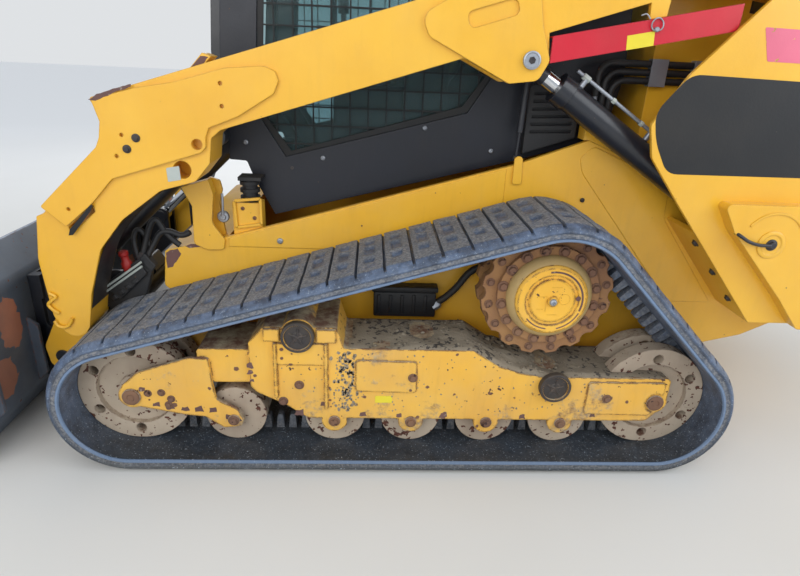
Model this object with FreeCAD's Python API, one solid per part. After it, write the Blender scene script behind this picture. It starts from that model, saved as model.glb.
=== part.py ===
# Compact track loader with a vertical-lift arm, a closed cab and a general-purpose bucket.
# Millimetres. +X is forward, +Y is the machine's left, +Z is up.
# The origin lies on the ground, on the centreline, midway between the two track idlers.
import FreeCAD, Part
import math
import os

os.makedirs("parts", exist_ok=True)

# Whole machine
HALF_TRACK_WIDTH = 965
TRACK_WIDTH = 400
MACHINE_REAR = -1965
BELLY = 245
CHORD_DIP = 1.4
FIT = 0.3

# Sideways places, each taken from its neighbour's
TRACK_GAP = 15
FRAME_INSET = 85
TOWER_DEPTH = 200
ARM_GAP = 25
ARM_WIDTH = 145
CAB_GAP = 95
TRACK_MIDDLE = HALF_TRACK_WIDTH - TRACK_WIDTH / 2
TRACK_INSIDE = HALF_TRACK_WIDTH - TRACK_WIDTH
FRAME_OUT = HALF_TRACK_WIDTH - FRAME_INSET
FRAME_IN = TRACK_INSIDE + FRAME_INSET
CHASSIS_HALF = TRACK_INSIDE - TRACK_GAP
TOWER_OUT = CHASSIS_HALF + TOWER_DEPTH
ARM_IN = CHASSIS_HALF + ARM_GAP
ARM_OUT = ARM_IN + ARM_WIDTH
CAB_HALF = CHASSIS_HALF - CAB_GAP

# Rubber track
IDLER_X = 865
IDLER_Z = 235
IDLER_R = 185
SPROCKET_X = -460
SPROCKET_Z = 600
SPROCKET_R = 215
BELT = 28
LUG_HEIGHT = 22
LINKS = 57
GUIDE_WIDTH = 36
GUIDE_HEIGHT = 50
GUIDE_LENGTH = 34

# Undercarriage
ROLLER_R = 100
ROLLER_X = 215
ROLLER_STEP = 255
ROLLERS = 4
FRONT_ROLLER_X = 545
FRAME_WALL = 14
DISC_GAP = 21
DISC_INNER = 26
DISC_OUTER = (FRAME_OUT - FRAME_IN) / 2 - FRAME_WALL - DISC_GAP
IDLER_AXLE_R = 36
ROLLER_AXLE_R = 24
LOBE_R = 42
AXLE_R = 51
FRONT_AXLE = (328, 465)
REAR_AXLE = (-510, 295)
BOX_TOP = 493
HUB_R = 115
HUB_RING = 22
FLANGE_R = 165
FLANGE = 14
DRUM_HALF = 60

# Chassis
CHASSIS_WALL = 20
CHASSIS_FLOOR = 12
CHASSIS_REAR = -1900
SILL = (827, 622)
SILL_BACK = (616, 674)
FENDER = (-620, 1050)
LEDGE_Z = 850
TOWER_PLATE = 14
TOWER_INNER = 16
TOWER_INNER_OUT = CHASSIS_HALF - 18
COVER_DEPTH = 50
COVER_WALL = 10

TIE_Y = 380
TIE_R = 22

# Lift linkage, pivots as (x, z)
PIVOT_A = (-1680, 985)
PIVOT_B = (-1055, 915)
PIVOT_C = (-1450, 1580)
PIVOT_D = (-1285, 1515)
LIFT_BASE = (-1180, 750)
LIFT_PIN = (-343, 1290)
LINK_PIN_R = 25
LIFT_Y = ARM_IN + 65
LIFT_BORE_R = 43
LIFT_ROD_R = 27
LINK_IN = CHASSIS_HALF - 9
LINK_THICK = 27

# Lift arms
FORK_IN = ARM_IN + 30
FORK_OUT = ARM_OUT - 30
CHEEK = 16
FACE = 12
BUCKET_PIN = (1210, 230)
BUCKET_PIN_R = 24
FRONT_TUBE = (962, 442)
FRONT_TUBE_R = 46
REAR_TUBE = (-985, 1612)
REAR_TUBE_R = 58
GUSSET = 14

# Tilt linkage
TILT_TOP = (635, 1015)
TILT_EYE = (1200, 470)
TILT_Y = ARM_IN - 85
TILT_BORE_R = 38
TILT_ROD_R = 22
TILT_PIN_R = 20
TILT_EAR_GAP = 68

# Coupler and bucket
COUPLER_HALF = ARM_IN - 15
COUPLER_BACK = 1270
BUCKET_HALF = 990
BUCKET_BACK = 1312
BUCKET_FRONT = 1965
BUCKET_TOP = 640
BUCKET_PLATE = 14
EDGE_PLATE = 24
EDGE_LENGTH = 130

# Cab
CAB_WALL = 42
DOOR_HALF = CAB_HALF - 80
REAR_WINDOW_HALF = CAB_HALF - 115
CAB_SHELL_TOP = 2060
ROOF_HEIGHT = 65
CAB_TOP = CAB_SHELL_TOP + ROOF_HEIGHT
WINDOW_TOP = CAB_SHELL_TOP - 110
DOOR_TOP = CAB_SHELL_TOP - 75
DOOR_HINGE = (646, DOOR_HALF + 13)
DOOR_HINGES = (1150, CAB_SHELL_TOP - 370)
HINGE_R = 11
GLASS = 6
CAB_FLOOR_FRONT = (420, 815)
CAB_FLOOR_REAR = (-390, 1005)
SEAT_HALF = CAB_HALF - 215
SEAT_LOW = 1180
SEAT_TOP = CAB_SHELL_TOP - 260
ROOF_SIDE = 25
LAMP_Y = CAB_HALF - 125
LAMP_HALF = 75
LAMP_DEPTH = 45

# Engine bay
HOOD_TOP = 1520
HOOD_FRONT = -1085
HOOD_EDGE = 60
HOOD_SKIN = 20
HOOD_TAIL = (-1925, 1372)
BAY_FRONT = -800
BAY_WALL = 18
BAY_HALF = TOWER_INNER_OUT - TOWER_INNER - FIT
DOOR_BOTTOM = 730
REAR_DOOR_THICK = 40
REAR_DOOR_INSIDE = -1920
REAR_HINGE = (-1955, BAY_HALF + 10.3)
REAR_HINGES = (900, 1250)
HOOD_HINGE = (-1089, 1530)
SMALL_HINGE_R = 9
ENGINE_FRONT = -1000
ENGINE_REAR = -1720
ENGINE_HALF = CHASSIS_HALF - 250
ENGINE_TOP = 1250

# Arm stand
STAND_FRONT = (-398.3, 1320)
STAND_REAR = (-935, 1428.4)
STAND_DEPTH = 72
STAND_IN = ARM_OUT - 32
STAND_OUT = ARM_OUT + 10

# Hydraulic lines on the left
HOSE_Y = CHASSIS_HALF - 19
HOSE_R = 11
LINE_R = 8
LINE_X = (-622, -646, -670)
HOSE_Z = (1296, 1270, 1244)
HOSE_BEND = 45
HOSE_END = -930

# Cab tilt struts
STRUT_Y = CHASSIS_HALF - 38


def vec(x, y, z):
    return FreeCAD.Vector(x, y, z)


def box(x0, x1, y0, y1, z0, z1):
    return Part.makeBox(x1 - x0, y1 - y0, z1 - z0, vec(x0, y0, z0))


def across(x, z, radius, y0, y1):
    """A round bar or disc along Y."""
    return Part.makeCylinder(radius, y1 - y0, vec(x, y0, z), vec(0, 1, 0))


def outline(points):
    """A closed wire in the XZ plane. A point is (x, z), or (x, z, r) where its corner is round."""
    corners = []
    count = len(points)
    for i in range(count):
        here = vec(points[i][0], 0, points[i][1])
        before = vec(points[i - 1][0], 0, points[i - 1][1])
        after = vec(points[(i + 1) % count][0], 0, points[(i + 1) % count][1])
        radius = points[i][2] if len(points[i]) > 2 else 0
        if radius == 0:
            corners.append((here, None, here))
            continue
        back = before.sub(here).normalize()
        ahead = after.sub(here).normalize()
        half = back.getAngle(ahead) / 2
        reach = radius / math.tan(half)
        middle = back.add(ahead).normalize()
        centre = here.add(FreeCAD.Vector(middle).multiply(radius / math.sin(half)))
        top = centre.sub(FreeCAD.Vector(middle).multiply(radius))
        start = here.add(FreeCAD.Vector(back).multiply(reach))
        end = here.add(FreeCAD.Vector(ahead).multiply(reach))
        corners.append((start, top, end))
    edges = []
    for i in range(count):
        start, top, end = corners[i]
        if top is not None:
            edges.append(Part.Arc(start, top, end).toShape())
        following = corners[(i + 1) % count][0]
        if end.distanceToPoint(following) > 0.001:
            edges.append(Part.LineSegment(end, following).toShape())
    return Part.Wire(edges)


def plate(points, y0, y1):
    """A flat plate of the given outline, from y0 to y1."""
    face = Part.Face(outline(points))
    face.translate(vec(0, y0, 0))
    return face.extrude(vec(0, y1 - y0, 0))


def link(a, b, radius_a, radius_b, y0, y1):
    """A link plate with a round end at each pivot, both given as (x, z)."""
    run = math.hypot(b[0] - a[0], b[1] - a[1])
    angle = math.atan2(b[1] - a[1], b[0] - a[0])
    lean = math.acos((radius_a - radius_b) / run)
    sides = []
    for sign in (1, -1):
        for centre, radius in ((a, radius_a), (b, radius_b)):
            turn = angle + sign * lean
            sides.append((centre[0] + radius * math.cos(turn), centre[1] + radius * math.sin(turn)))
    body = plate([sides[0], sides[1], sides[3], sides[2]], y0, y1)
    ends = [across(a[0], a[1], radius_a, y0, y1), across(b[0], b[1], radius_b, y0, y1)]
    return body.multiFuse(ends).removeSplitter()


def mirrored(shape):
    return shape.mirror(vec(0, 0, 0), vec(0, 1, 0))


def pair(shape):
    """The left piece and its right twin, as solids that don't touch."""
    return Part.makeCompound(list(shape.Solids) + list(mirrored(shape).Solids))


def write(name, shape):
    shape.exportStep("parts/" + name + ".step")


# Track loop: two idler arcs and one sprocket arc joined by their outer tangents
def track_path():
    """The loop's runs and arcs on the belt's inner face, as (length, point function)."""
    wheels = [(IDLER_X, IDLER_Z, IDLER_R), (SPROCKET_X, SPROCKET_Z, SPROCKET_R), (-IDLER_X, IDLER_Z, IDLER_R)]
    tangents = []
    for i in range(3):
        x0, z0, r0 = wheels[i]
        x1, z1, r1 = wheels[(i + 1) % 3]
        run = math.hypot(x1 - x0, z1 - z0)
        heading = math.atan2(z1 - z0, x1 - x0)
        tangents.append(heading - math.acos((r0 - r1) / run))
    pieces = []
    for i in range(3):
        x0, z0, r0 = wheels[i]
        x1, z1, r1 = wheels[(i + 1) % 3]
        start = tangents[i - 1]
        sweep = (tangents[i] - start) % (2 * math.pi)
        pieces.append(("arc", sweep * (r0 + BELT / 2), (x0, z0, r0, start, sweep)))
        length = math.sqrt((x1 - x0) ** 2 + (z1 - z0) ** 2 - (r0 - r1) ** 2)
        pieces.append(("run", length, (x0, z0, r0, x1, z1, r1, tangents[i])))
    return pieces


def on_track(pieces, distance, height):
    """The point at a distance along the belt's middle line, at a height over its inner face."""
    total = sum(piece[1] for piece in pieces)
    distance = distance % total
    for kind, length, data in pieces:
        if distance > length:
            distance -= length
            continue
        if kind == "arc":
            x, z, radius, start, sweep = data
            angle = start + sweep * distance / length
            return (x + (radius + height) * math.cos(angle), z + (radius + height) * math.sin(angle))
        x0, z0, r0, x1, z1, r1, angle = data
        share = distance / length
        radius = r0 + (r1 - r0) * share + height
        x = x0 + (x1 - x0) * share
        z = z0 + (z1 - z0) * share
        return (x + radius * math.cos(angle), z + radius * math.sin(angle))
    return None


def make_track():
    pieces = track_path()
    total = sum(piece[1] for piece in pieces)
    pitch = total / LINKS
    outer = []
    inner = []
    for i in range(LINKS):
        for share, height in ((0.03, BELT), (0.065, BELT + LUG_HEIGHT), (0.5, BELT + LUG_HEIGHT),
                              (0.935, BELT + LUG_HEIGHT), (0.97, BELT)):
            outer.append(on_track(pieces, (i + share) * pitch, height))
        for share in (0.25, 0.75):
            inner.append(on_track(pieces, (i + share) * pitch, 0))
    loop = plate(outer, TRACK_INSIDE, HALF_TRACK_WIDTH)
    loop = loop.cut(plate(inner, TRACK_INSIDE - 1, HALF_TRACK_WIDTH + 1))
    guides = []
    for i in range(LINKS):
        base = GUIDE_LENGTH / 2 / pitch
        tip = base * 0.6
        corners = [((i - base), 3), ((i - tip), -GUIDE_HEIGHT), ((i + tip), -GUIDE_HEIGHT), ((i + base), 3)]
        foot = [on_track(pieces, share * pitch, height) for share, height in corners]
        guides.append(plate(foot, TRACK_MIDDLE - GUIDE_WIDTH / 2, TRACK_MIDDLE + GUIDE_WIDTH / 2))
    return loop.multiFuse(guides)


def wheel(x, z, radius, hub_radius):
    """An idler or roller: two discs on one hub, with the guide lugs running between them."""
    body = across(x, z, hub_radius, TRACK_MIDDLE - DISC_OUTER, TRACK_MIDDLE + DISC_OUTER)
    left = across(x, z, radius, TRACK_MIDDLE + DISC_INNER, TRACK_MIDDLE + DISC_OUTER)
    right = across(x, z, radius, TRACK_MIDDLE - DISC_OUTER, TRACK_MIDDLE - DISC_INNER)
    return body.multiFuse([left, right])


def roller_places():
    """The rollers' places along the frame, the front one last."""
    return [ROLLER_X - i * ROLLER_STEP for i in range(ROLLERS)] + [FRONT_ROLLER_X]


ROLLER_Z = ROLLER_R + BELT + LUG_HEIGHT + FIT


def make_rollers():
    return pair(Part.makeCompound([wheel(x, ROLLER_Z, ROLLER_R, 42) for x in roller_places()]))


def make_idlers():
    face = TRACK_MIDDLE + DISC_OUTER
    holes = 6
    solids = []
    for x in (IDLER_X, -IDLER_X):
        body = wheel(x, IDLER_Z, IDLER_R - CHORD_DIP, 120)
        dish = across(x, IDLER_Z, 125, face - 18, face).cut(across(x, IDLER_Z, 55, face - 18, face))
        cuts = [dish]
        for i in range(holes):
            turn = 2 * math.pi * (i + 0.5) / holes
            cuts.append(across(x + 145 * math.cos(turn), IDLER_Z + 145 * math.sin(turn), 17,
                               TRACK_MIDDLE - DISC_OUTER - 1, face + 1))
        solids.append(body.cut(Part.makeCompound(cuts)))
    return pair(Part.makeCompound(solids))


def make_sprocket():
    """Two toothed rings on a drum, outside and inside the guide lugs, and the bolted flange outside."""
    teeth = 16
    low = TRACK_MIDDLE - DRUM_HALF
    high = TRACK_MIDDLE + DRUM_HALF
    body = across(SPROCKET_X, SPROCKET_Z, SPROCKET_R - GUIDE_HEIGHT - 8, low, high)
    notches = []
    for i in range(teeth):
        turn = 2 * math.pi * i / teeth
        x = SPROCKET_X + (SPROCKET_R + 12) * math.cos(turn)
        z = SPROCKET_Z + (SPROCKET_R + 12) * math.sin(turn)
        notches.append(across(x, z, 28, low - 1, high + 1))
    for start in (low, high - 32):
        ring = across(SPROCKET_X, SPROCKET_Z, SPROCKET_R - 2, start, start + 32)
        body = body.fuse(ring.cut(Part.makeCompound(notches)))
    body = body.cut(across(SPROCKET_X, SPROCKET_Z, HUB_R + HUB_RING, low - 1, high + 1))
    flange = across(SPROCKET_X, SPROCKET_Z, FLANGE_R, high, high + FLANGE)
    flange = flange.cut(across(SPROCKET_X, SPROCKET_Z, HUB_R + FIT, high - 1, high + FLANGE + 1))
    return pair(body.fuse(flange).removeSplitter())


def make_final_drive():
    """The travel motor's housing on the chassis wall, through the sprocket to the ringed hub cap."""
    x, z = SPROCKET_X, SPROCKET_Z
    inner = TRACK_MIDDLE + DRUM_HALF
    outer = inner + FLANGE
    drum = HUB_R + HUB_RING - FIT
    body = across(x, z, 140, CHASSIS_HALF, FRAME_IN + 10)
    body = body.fuse(across(x, z, drum, FRAME_IN + 10, inner - FIT))
    body = body.fuse(across(x, z, HUB_R, inner - FIT, outer + 34))
    ring = Part.makeCone(drum, drum - 10, 14, vec(x, outer + FIT, z), vec(0, 1, 0))
    cap = Part.makeCone(HUB_R, HUB_R - 8, 8, vec(x, outer + 34, z), vec(0, 1, 0))
    body = body.multiFuse([ring, cap])
    groove = across(x, z, 84, outer + 37, outer + 43).cut(across(x, z, 72, outer + 37, outer + 43))
    plug = across(x, z, 16, outer + 41, outer + 52)
    return pair(body.cut(groove).fuse(plug).removeSplitter())


def frame_outline():
    """The roller frame's side: front box, low saddle under the sprocket and tapered rear arm."""
    return [(484, 279), (484, 435, 8), (434, BOX_TOP, 10), (208, BOX_TOP, 8), (184, 420, 12), (-230, 420, 25),
            (-318, 364, 30), (-390, 340, 30), (-470, 326, 30), (-905, 326, 14), (-905, 231, 20), (-850, 160, 30),
            (300, 160, 12), (375, 212, 20), (465, 257, 20)]


def make_track_frame():
    """The long roller frame, a channel open below, with the front idler's swinging fork and a rear fork."""
    body = plate(frame_outline(), FRAME_IN, FRAME_OUT)
    low = 60
    inside = [(470, low), (470, 428), (428, 477), (220, 477), (196, 404), (-236, 404), (-324, 348), (-396, 324),
              (-470, 310), (-662, 310), (-662, 340), (-1000, 340), (-1000, low)]
    body = body.cut(plate(inside, FRAME_IN + FRAME_WALL, FRAME_OUT - FRAME_WALL))
    nose = plate([(470, 285), (470, 405), (650, 405, 12), (650, 300, 12), (600, 285)],
                 FRAME_IN + FRAME_WALL, FRAME_OUT - FRAME_WALL)
    fork = [(897, 212, 25), (897, 268, 25), (838, 323, 20), (674, 378, 30), (612, 375, 10), (606, 285), (598, 225, 15),
            (535, 190, 20), (513, 150, 20), (521, 125, 15), (579, 118, 20), (636, 160, 15), (700, 167, 20), (860, 200, 15)]
    pieces = [nose]
    for y in (FRAME_IN, FRAME_OUT - FRAME_WALL):
        pieces.append(plate(fork, y, y + FRAME_WALL))
        for x, z in [(IDLER_X, IDLER_Z), (-IDLER_X, IDLER_Z)] + [(x, ROLLER_Z) for x in roller_places()[:ROLLERS]]:
            pieces.append(across(x, z, LOBE_R, y, y + FRAME_WALL))
    x, z = FRONT_AXLE
    pieces.append(across(x, z, AXLE_R + 5, FRAME_IN, FRAME_OUT))
    ends = [across(x, z, AXLE_R + FIT, FRAME_OUT, FRAME_OUT + 20),
            across(-IDLER_X, IDLER_Z, IDLER_AXLE_R, FRAME_OUT, FRAME_OUT + 20)]
    return pair(body.multiFuse(pieces + frame_trim()).cut(Part.makeCompound(ends)).removeSplitter())


def frame_trim():
    """Raised plates on the frame's outer side: axle clamps, ribs, access plate and rear panel."""
    flat = 6
    clamp = 12
    spots = [([(434, 448), (434, 490), (385, 490), (385, 448)], clamp),
             ([(270, 445), (270, 490), (210, 490), (210, 445)], clamp),
             ([(406, 243), (406, 440), (396, 440), (396, 243)], clamp),
             ([(246, 200), (246, 440), (236, 440), (236, 200)], clamp),
             ([(396, 362), (396, 438), (246, 438), (246, 362)], flat),
             ([(146, 268, 10), (146, 381, 10), (-50, 378, 10), (-53, 264, 10)], flat),
             ([(-625, 190, 12), (-625, 312, 12), (-888, 312, 12), (-888, 236, 12), (-850, 186, 12)], flat)]
    return [plate(points, FRAME_OUT, FRAME_OUT + depth) for points, depth in spots]


def make_shafts():
    """The wheels' shaft ends from hub to frame wall, and their round ends outside the frame."""
    spots = [(IDLER_X, IDLER_Z, IDLER_AXLE_R), (-IDLER_X, IDLER_Z, IDLER_AXLE_R)]
    spots += [(x, ROLLER_Z, ROLLER_AXLE_R) for x in roller_places()]
    solids = []
    for x, z, radius in spots:
        solids.append(across(x, z, radius, TRACK_MIDDLE + DISC_OUTER, FRAME_OUT - FRAME_WALL))
        solids.append(across(x, z, radius, FRAME_IN + FRAME_WALL, TRACK_MIDDLE - DISC_OUTER))
        solids.append(across(x, z, radius * 0.8, FRAME_OUT, FRAME_OUT + 7))
    return pair(Part.makeCompound(solids))


def make_axles():
    """Torsion axle tubes from the chassis wall to the track frame, and their ringed caps outside."""
    solids = []
    for x, z in (FRONT_AXLE, REAR_AXLE):
        solids.append(across(x, z, AXLE_R, CHASSIS_HALF, FRAME_IN))
        cap = across(x, z, AXLE_R, FRAME_OUT, FRAME_OUT + 20)
        solids.append(cap.cut(across(x, z, AXLE_R - 9, FRAME_OUT + 12, FRAME_OUT + 21)))
    return pair(Part.makeCompound(solids))


def make_chassis():
    """The welded tub: side walls, belly, sloped tail and closed front sill, open above."""
    shell = [(842, 490, 15), (SILL[0], SILL[1], 12), SILL_BACK, (-380, 960), FENDER, (-930, 930), (-985, LEDGE_Z),
             (CHASSIS_REAR, LEDGE_Z), (CHASSIS_REAR, 620), (-1340, 335), (-1200, 300), (-1060, BELLY, 60),
             (545, BELLY, 60)]
    body = plate(shell, -CHASSIS_HALF, CHASSIS_HALF)
    wall = CHASSIS_FLOOR
    cavity = [(828, 496, 8), (815, 610), (604, 662), (600, 1200), (CHASSIS_REAR + wall, 1200),
              (CHASSIS_REAR + wall, 628), (-1342, 348), (-1200, 314), (-1056, BELLY + wall, 60),
              (542, BELLY + wall, 50)]
    inside = CHASSIS_HALF - CHASSIS_WALL
    return body.cut(plate(cavity, -inside, inside))


def sill_top(x):
    """Height of the front sill's sloped top at x."""
    return SILL_BACK[1] + (x - SILL_BACK[0]) * (SILL[1] - SILL_BACK[1]) / (SILL[0] - SILL_BACK[0])


def fender_top(x):
    """Height of the chassis wall's top edge at x, behind its crest."""
    return FENDER[1] + (x - FENDER[0]) * (930 - FENDER[1]) / (-930 - FENDER[0])


def tower_outline():
    return [(-725, 1125, 20), (-812, 1270), (-1000, 1476), (-1100, 1560, 60), (-1560, 1560, 120), (-1850, 1200, 150),
            (-1860, 750), (-1620, 480), (-1206, 480), (-860, 890), (-748, 1028, 40)]


def make_tower_plates():
    """The towers' outer side plates."""
    return pair(plate(tower_outline(), TOWER_OUT - TOWER_PLATE, TOWER_OUT))


def make_tower_inner():
    """The towers' inner plates, each with the ledge behind it that lies on the chassis wall."""
    shape = [(-985, LEDGE_Z), (-985, 1060, 60), (-1150, 1250, 80), (-1580, 1250, 80), (-1790, 1100, 60), (-1790, LEDGE_Z)]
    inner = plate(shape, TOWER_INNER_OUT - TOWER_INNER, TOWER_INNER_OUT)
    ledge = box(-1790, -1200, TOWER_INNER_OUT + FIT, TOWER_OUT - TOWER_PLATE, LEDGE_Z, LEDGE_Z + TOWER_PLATE)
    return pair(Part.makeCompound([inner, ledge]))


def make_tower_rims():
    """The strips that close each tower's lower edge, from the chassis wall to the outer plate."""
    outside = [(-945, 791), (-1206, 480), (-1620, 480), (-1860, 750), (-1855, 1000)]
    inside = [(-958, 800), (-1213, 494), (-1614, 494), (-1846, 756), (-1841, 1000)]
    solids = []
    for i in range(len(outside) - 1):
        a, b, c, d = outside[i], outside[i + 1], inside[i + 1], inside[i]
        cut = FIT / math.hypot(b[0] - a[0], b[1] - a[1])
        b = (b[0] + (a[0] - b[0]) * cut, b[1] + (a[1] - b[1]) * cut)
        c = (c[0] + (d[0] - c[0]) * cut, c[1] + (d[1] - c[1]) * cut)
        solids.append(plate([a, b, c, d], CHASSIS_HALF, TOWER_OUT - TOWER_PLATE))
    return pair(Part.makeCompound(solids))


def make_tower_pins():
    """The towers' pivot pins: rear link pin with its bosses, front link stub and lift cylinder base."""
    face = TOWER_OUT - TOWER_PLATE
    x, z = PIVOT_A
    rear = across(x, z, LINK_PIN_R, TOWER_INNER_OUT, face)
    rear = rear.multiFuse([across(x, z, 60, TOWER_INNER_OUT, FORK_IN + 4), across(x, z, 60, FORK_OUT - 4, face)])
    front = across(PIVOT_B[0], PIVOT_B[1], LINK_PIN_R, TOWER_INNER_OUT, LINK_IN + LINK_THICK + 4)
    base = across(LIFT_BASE[0], LIFT_BASE[1], LINK_PIN_R, CHASSIS_HALF, face)
    cheeks = [link(LIFT_BASE, (-1260, 640), 55, 70, y, y + 18) for y in (CHASSIS_HALF, face - 18)]
    return pair(Part.makeCompound([rear.removeSplitter(), front, base.multiFuse(cheeks).removeSplitter()]))


def make_tower_covers():
    """The raised box on each tower's outer plate, open toward the tower."""
    shape = [(-985, 903, 14), (-1040, 812), (-1253, 589), (-1345, 480, 14), (-1540, 480, 14), (-1540, 903, 14)]
    inner = [(-1003, 891), (-1049, 820), (-1262, 597), (-1350, 492), (-1528, 492), (-1528, 891)]
    body = plate(shape, TOWER_OUT, TOWER_OUT + COVER_DEPTH)
    body = body.cut(plate(inner, TOWER_OUT - 1, TOWER_OUT + COVER_DEPTH - COVER_WALL))
    return pair(body)


def make_rear_bumper():
    """The rear bumper beam, with a round tie-down hole near each end."""
    body = box(MACHINE_REAR, CHASSIS_REAR, -CHASSIS_HALF, CHASSIS_HALF, 622, 720)
    for y in (-TIE_Y, TIE_Y):
        body = body.cut(Part.makeCylinder(TIE_R, 100, vec(MACHINE_REAR - 1, y, 671), vec(1, 0, 0)))
    return body


def tail_floor(x):
    """Height of the tub's sloped tail floor at x."""
    return 348 + (-1342 - x) * (628 - 348) / (1888 - 1342)


def make_engine():
    """The engine as one plain block on two feet that stand on the sloped tail floor."""
    block = box(ENGINE_REAR, ENGINE_FRONT, -ENGINE_HALF, ENGINE_HALF, 560, ENGINE_TOP)
    feet = []
    for x in (-1660, -1420):
        foot = [(x, tail_floor(x) + FIT), (x + 60, tail_floor(x + 60) + FIT), (x + 60, 561), (x, 561)]
        feet.append(plate(foot, -ENGINE_HALF, ENGINE_HALF))
    return block.multiFuse(feet).removeSplitter()


def make_radiator():
    half = ENGINE_HALF + 30
    return box(ENGINE_REAR - 60, ENGINE_FRONT - 180, -half, half, ENGINE_TOP + FIT, ENGINE_TOP + 110)


def wall_top(x):
    """Height of the engine bay wall's sloped top edge at x, which the hood closes on."""
    share = (HOOD_FRONT - x) / (HOOD_FRONT - HOOD_TAIL[0])
    return HOOD_TOP - HOOD_EDGE + share * (HOOD_TAIL[1] - HOOD_TOP + HOOD_EDGE)


def hood_hinge(y, length, leaf_end):
    """One half of a hood hinge: a knuckle across the machine and a leaf that lies on the plate beside it."""
    x, z = HOOD_HINGE
    knuckle = across(x, z, SMALL_HINGE_R, y, y + length)
    leaf = box(min(x, leaf_end), max(x, leaf_end), y, y + length, z - 16, z - 5)
    return knuckle.fuse(leaf)


def make_engine_walls():
    """The engine bay's side walls, the fixed deck behind the cab and the wall in front of the engine."""
    rear = REAR_DOOR_INSIDE + FIT
    low = LEDGE_Z + TOWER_PLATE
    shape = [(BAY_FRONT, 1060), (BAY_FRONT, HOOD_TOP), (HOOD_FRONT, HOOD_TOP), (HOOD_FRONT, wall_top(HOOD_FRONT)),
             (rear, wall_top(rear)), (rear, low), (-985, low), (-940, 940)]
    left = plate(shape, BAY_HALF - BAY_WALL, BAY_HALF)
    deck = box(HOOD_FRONT, BAY_FRONT, -BAY_HALF, BAY_HALF, HOOD_TOP - 20, HOOD_TOP)
    front = box(BAY_FRONT - 20, BAY_FRONT, -BAY_HALF, BAY_HALF, 1060, HOOD_TOP)
    pieces = [mirrored(left), deck, front]
    for z in REAR_HINGES:
        x, y = REAR_HINGE
        pieces.append(Part.makeCylinder(SMALL_HINGE_R, 60, vec(x, y, z)))
        pieces.append(box(x, REAR_DOOR_INSIDE + 40, BAY_HALF - 1, BAY_HALF + 5, z, z + 60))
    for y in (-300, 240):
        pieces.append(hood_hinge(y, 60, HOOD_HINGE[0] + 50))
    return left.multiFuse(pieces).removeSplitter()


def make_hood():
    """The engine cover that tips up about its front edge: one crowned slab with a sloped tail."""
    half = BAY_HALF - 6
    front = HOOD_FRONT - 8
    skin = HOOD_SKIN
    shape = [(front, wall_top(front) + FIT), (front, HOOD_TOP, 10), (-1740, HOOD_TOP - 70, 120),
             (HOOD_TAIL[0], HOOD_TAIL[1] + 30, 14), (HOOD_TAIL[0], wall_top(HOOD_TAIL[0]) + FIT)]
    room = [(front - skin, wall_top(front) - 20), (front - skin, HOOD_TOP - skin), (-1740, HOOD_TOP - 70 - skin, 100),
            (HOOD_TAIL[0] + skin, HOOD_TAIL[1] + 10), (HOOD_TAIL[0] + skin, wall_top(HOOD_TAIL[0]) - 20)]
    body = plate(shape, -half, half).cut(plate(room, -half + skin, half - skin))
    hinges = [hood_hinge(y, 40, HOOD_HINGE[0] - 50) for y in (-300 + 60 + FIT, 240 - 40 - FIT)]
    return body.multiFuse(hinges).removeSplitter()


def make_rear_door():
    """The rear door: a rim round a louvred panel with slats that lean outward."""
    half = BAY_HALF - 3
    x0 = REAR_DOOR_INSIDE - REAR_DOOR_THICK
    top = HOOD_TAIL[1] - 4
    body = box(x0, REAR_DOOR_INSIDE, -half, half, DOOR_BOTTOM, top)
    body = body.cut(box(x0 + 18, REAR_DOOR_INSIDE + 1, -half + 60, half - 60, DOOR_BOTTOM + 60, top - 60))
    body = body.cut(box(x0 - 1, REAR_DOOR_INSIDE + 1, -half + 110, half - 110, DOOR_BOTTOM + 140, top - 110))
    pieces = []
    count = 9
    pitch = (top - 110 - DOOR_BOTTOM - 140) / count
    for i in range(count):
        z = DOOR_BOTTOM + 140 + i * pitch
        slat = [(x0 + 2, z + 4), (x0 + 17, z + 26), (x0 + 17, z + 32), (x0 + 2, z + 10)]
        pieces.append(plate(slat, -half + 109, half - 109))
    for z in REAR_HINGES:
        x, y = REAR_HINGE
        start = z + 60 + FIT
        pieces.append(Part.makeCylinder(SMALL_HINGE_R, 40, vec(x, y, start)))
        pieces.append(box(x - 4, x + 4, half - 8, y, start, start + 40))
    return body.multiFuse(pieces).removeSplitter()


def cab_floor(x):
    """Height of the cab floor's top at x."""
    share = (CAB_FLOOR_FRONT[0] - x) / (CAB_FLOOR_FRONT[0] - CAB_FLOOR_REAR[0])
    return CAB_FLOOR_FRONT[1] + share * (CAB_FLOOR_REAR[1] - CAB_FLOOR_FRONT[1])


def cab_outline():
    """The cab's side: stepped toe at the front, upright posts and a shorter rear foot."""
    return [(454, 738), (522, 867), (545, 927, 10), (604, 930, 6), (602, 1015), (612, 1280), (555, CAB_SHELL_TOP),
            (-700, CAB_SHELL_TOP), (-740, 1250), (-700, 1050), (-400, 960)]


def window_outline(grow):
    """The side window, with its lower corners cut off at a slant."""
    return [(505 + grow, 1095), (410 + grow, 945 - grow), (-215 - grow, 1115 - grow), (-310 - grow, 1270),
            (-310 - grow, WINDOW_TOP + grow), (455 + grow, WINDOW_TOP + grow)]


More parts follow.
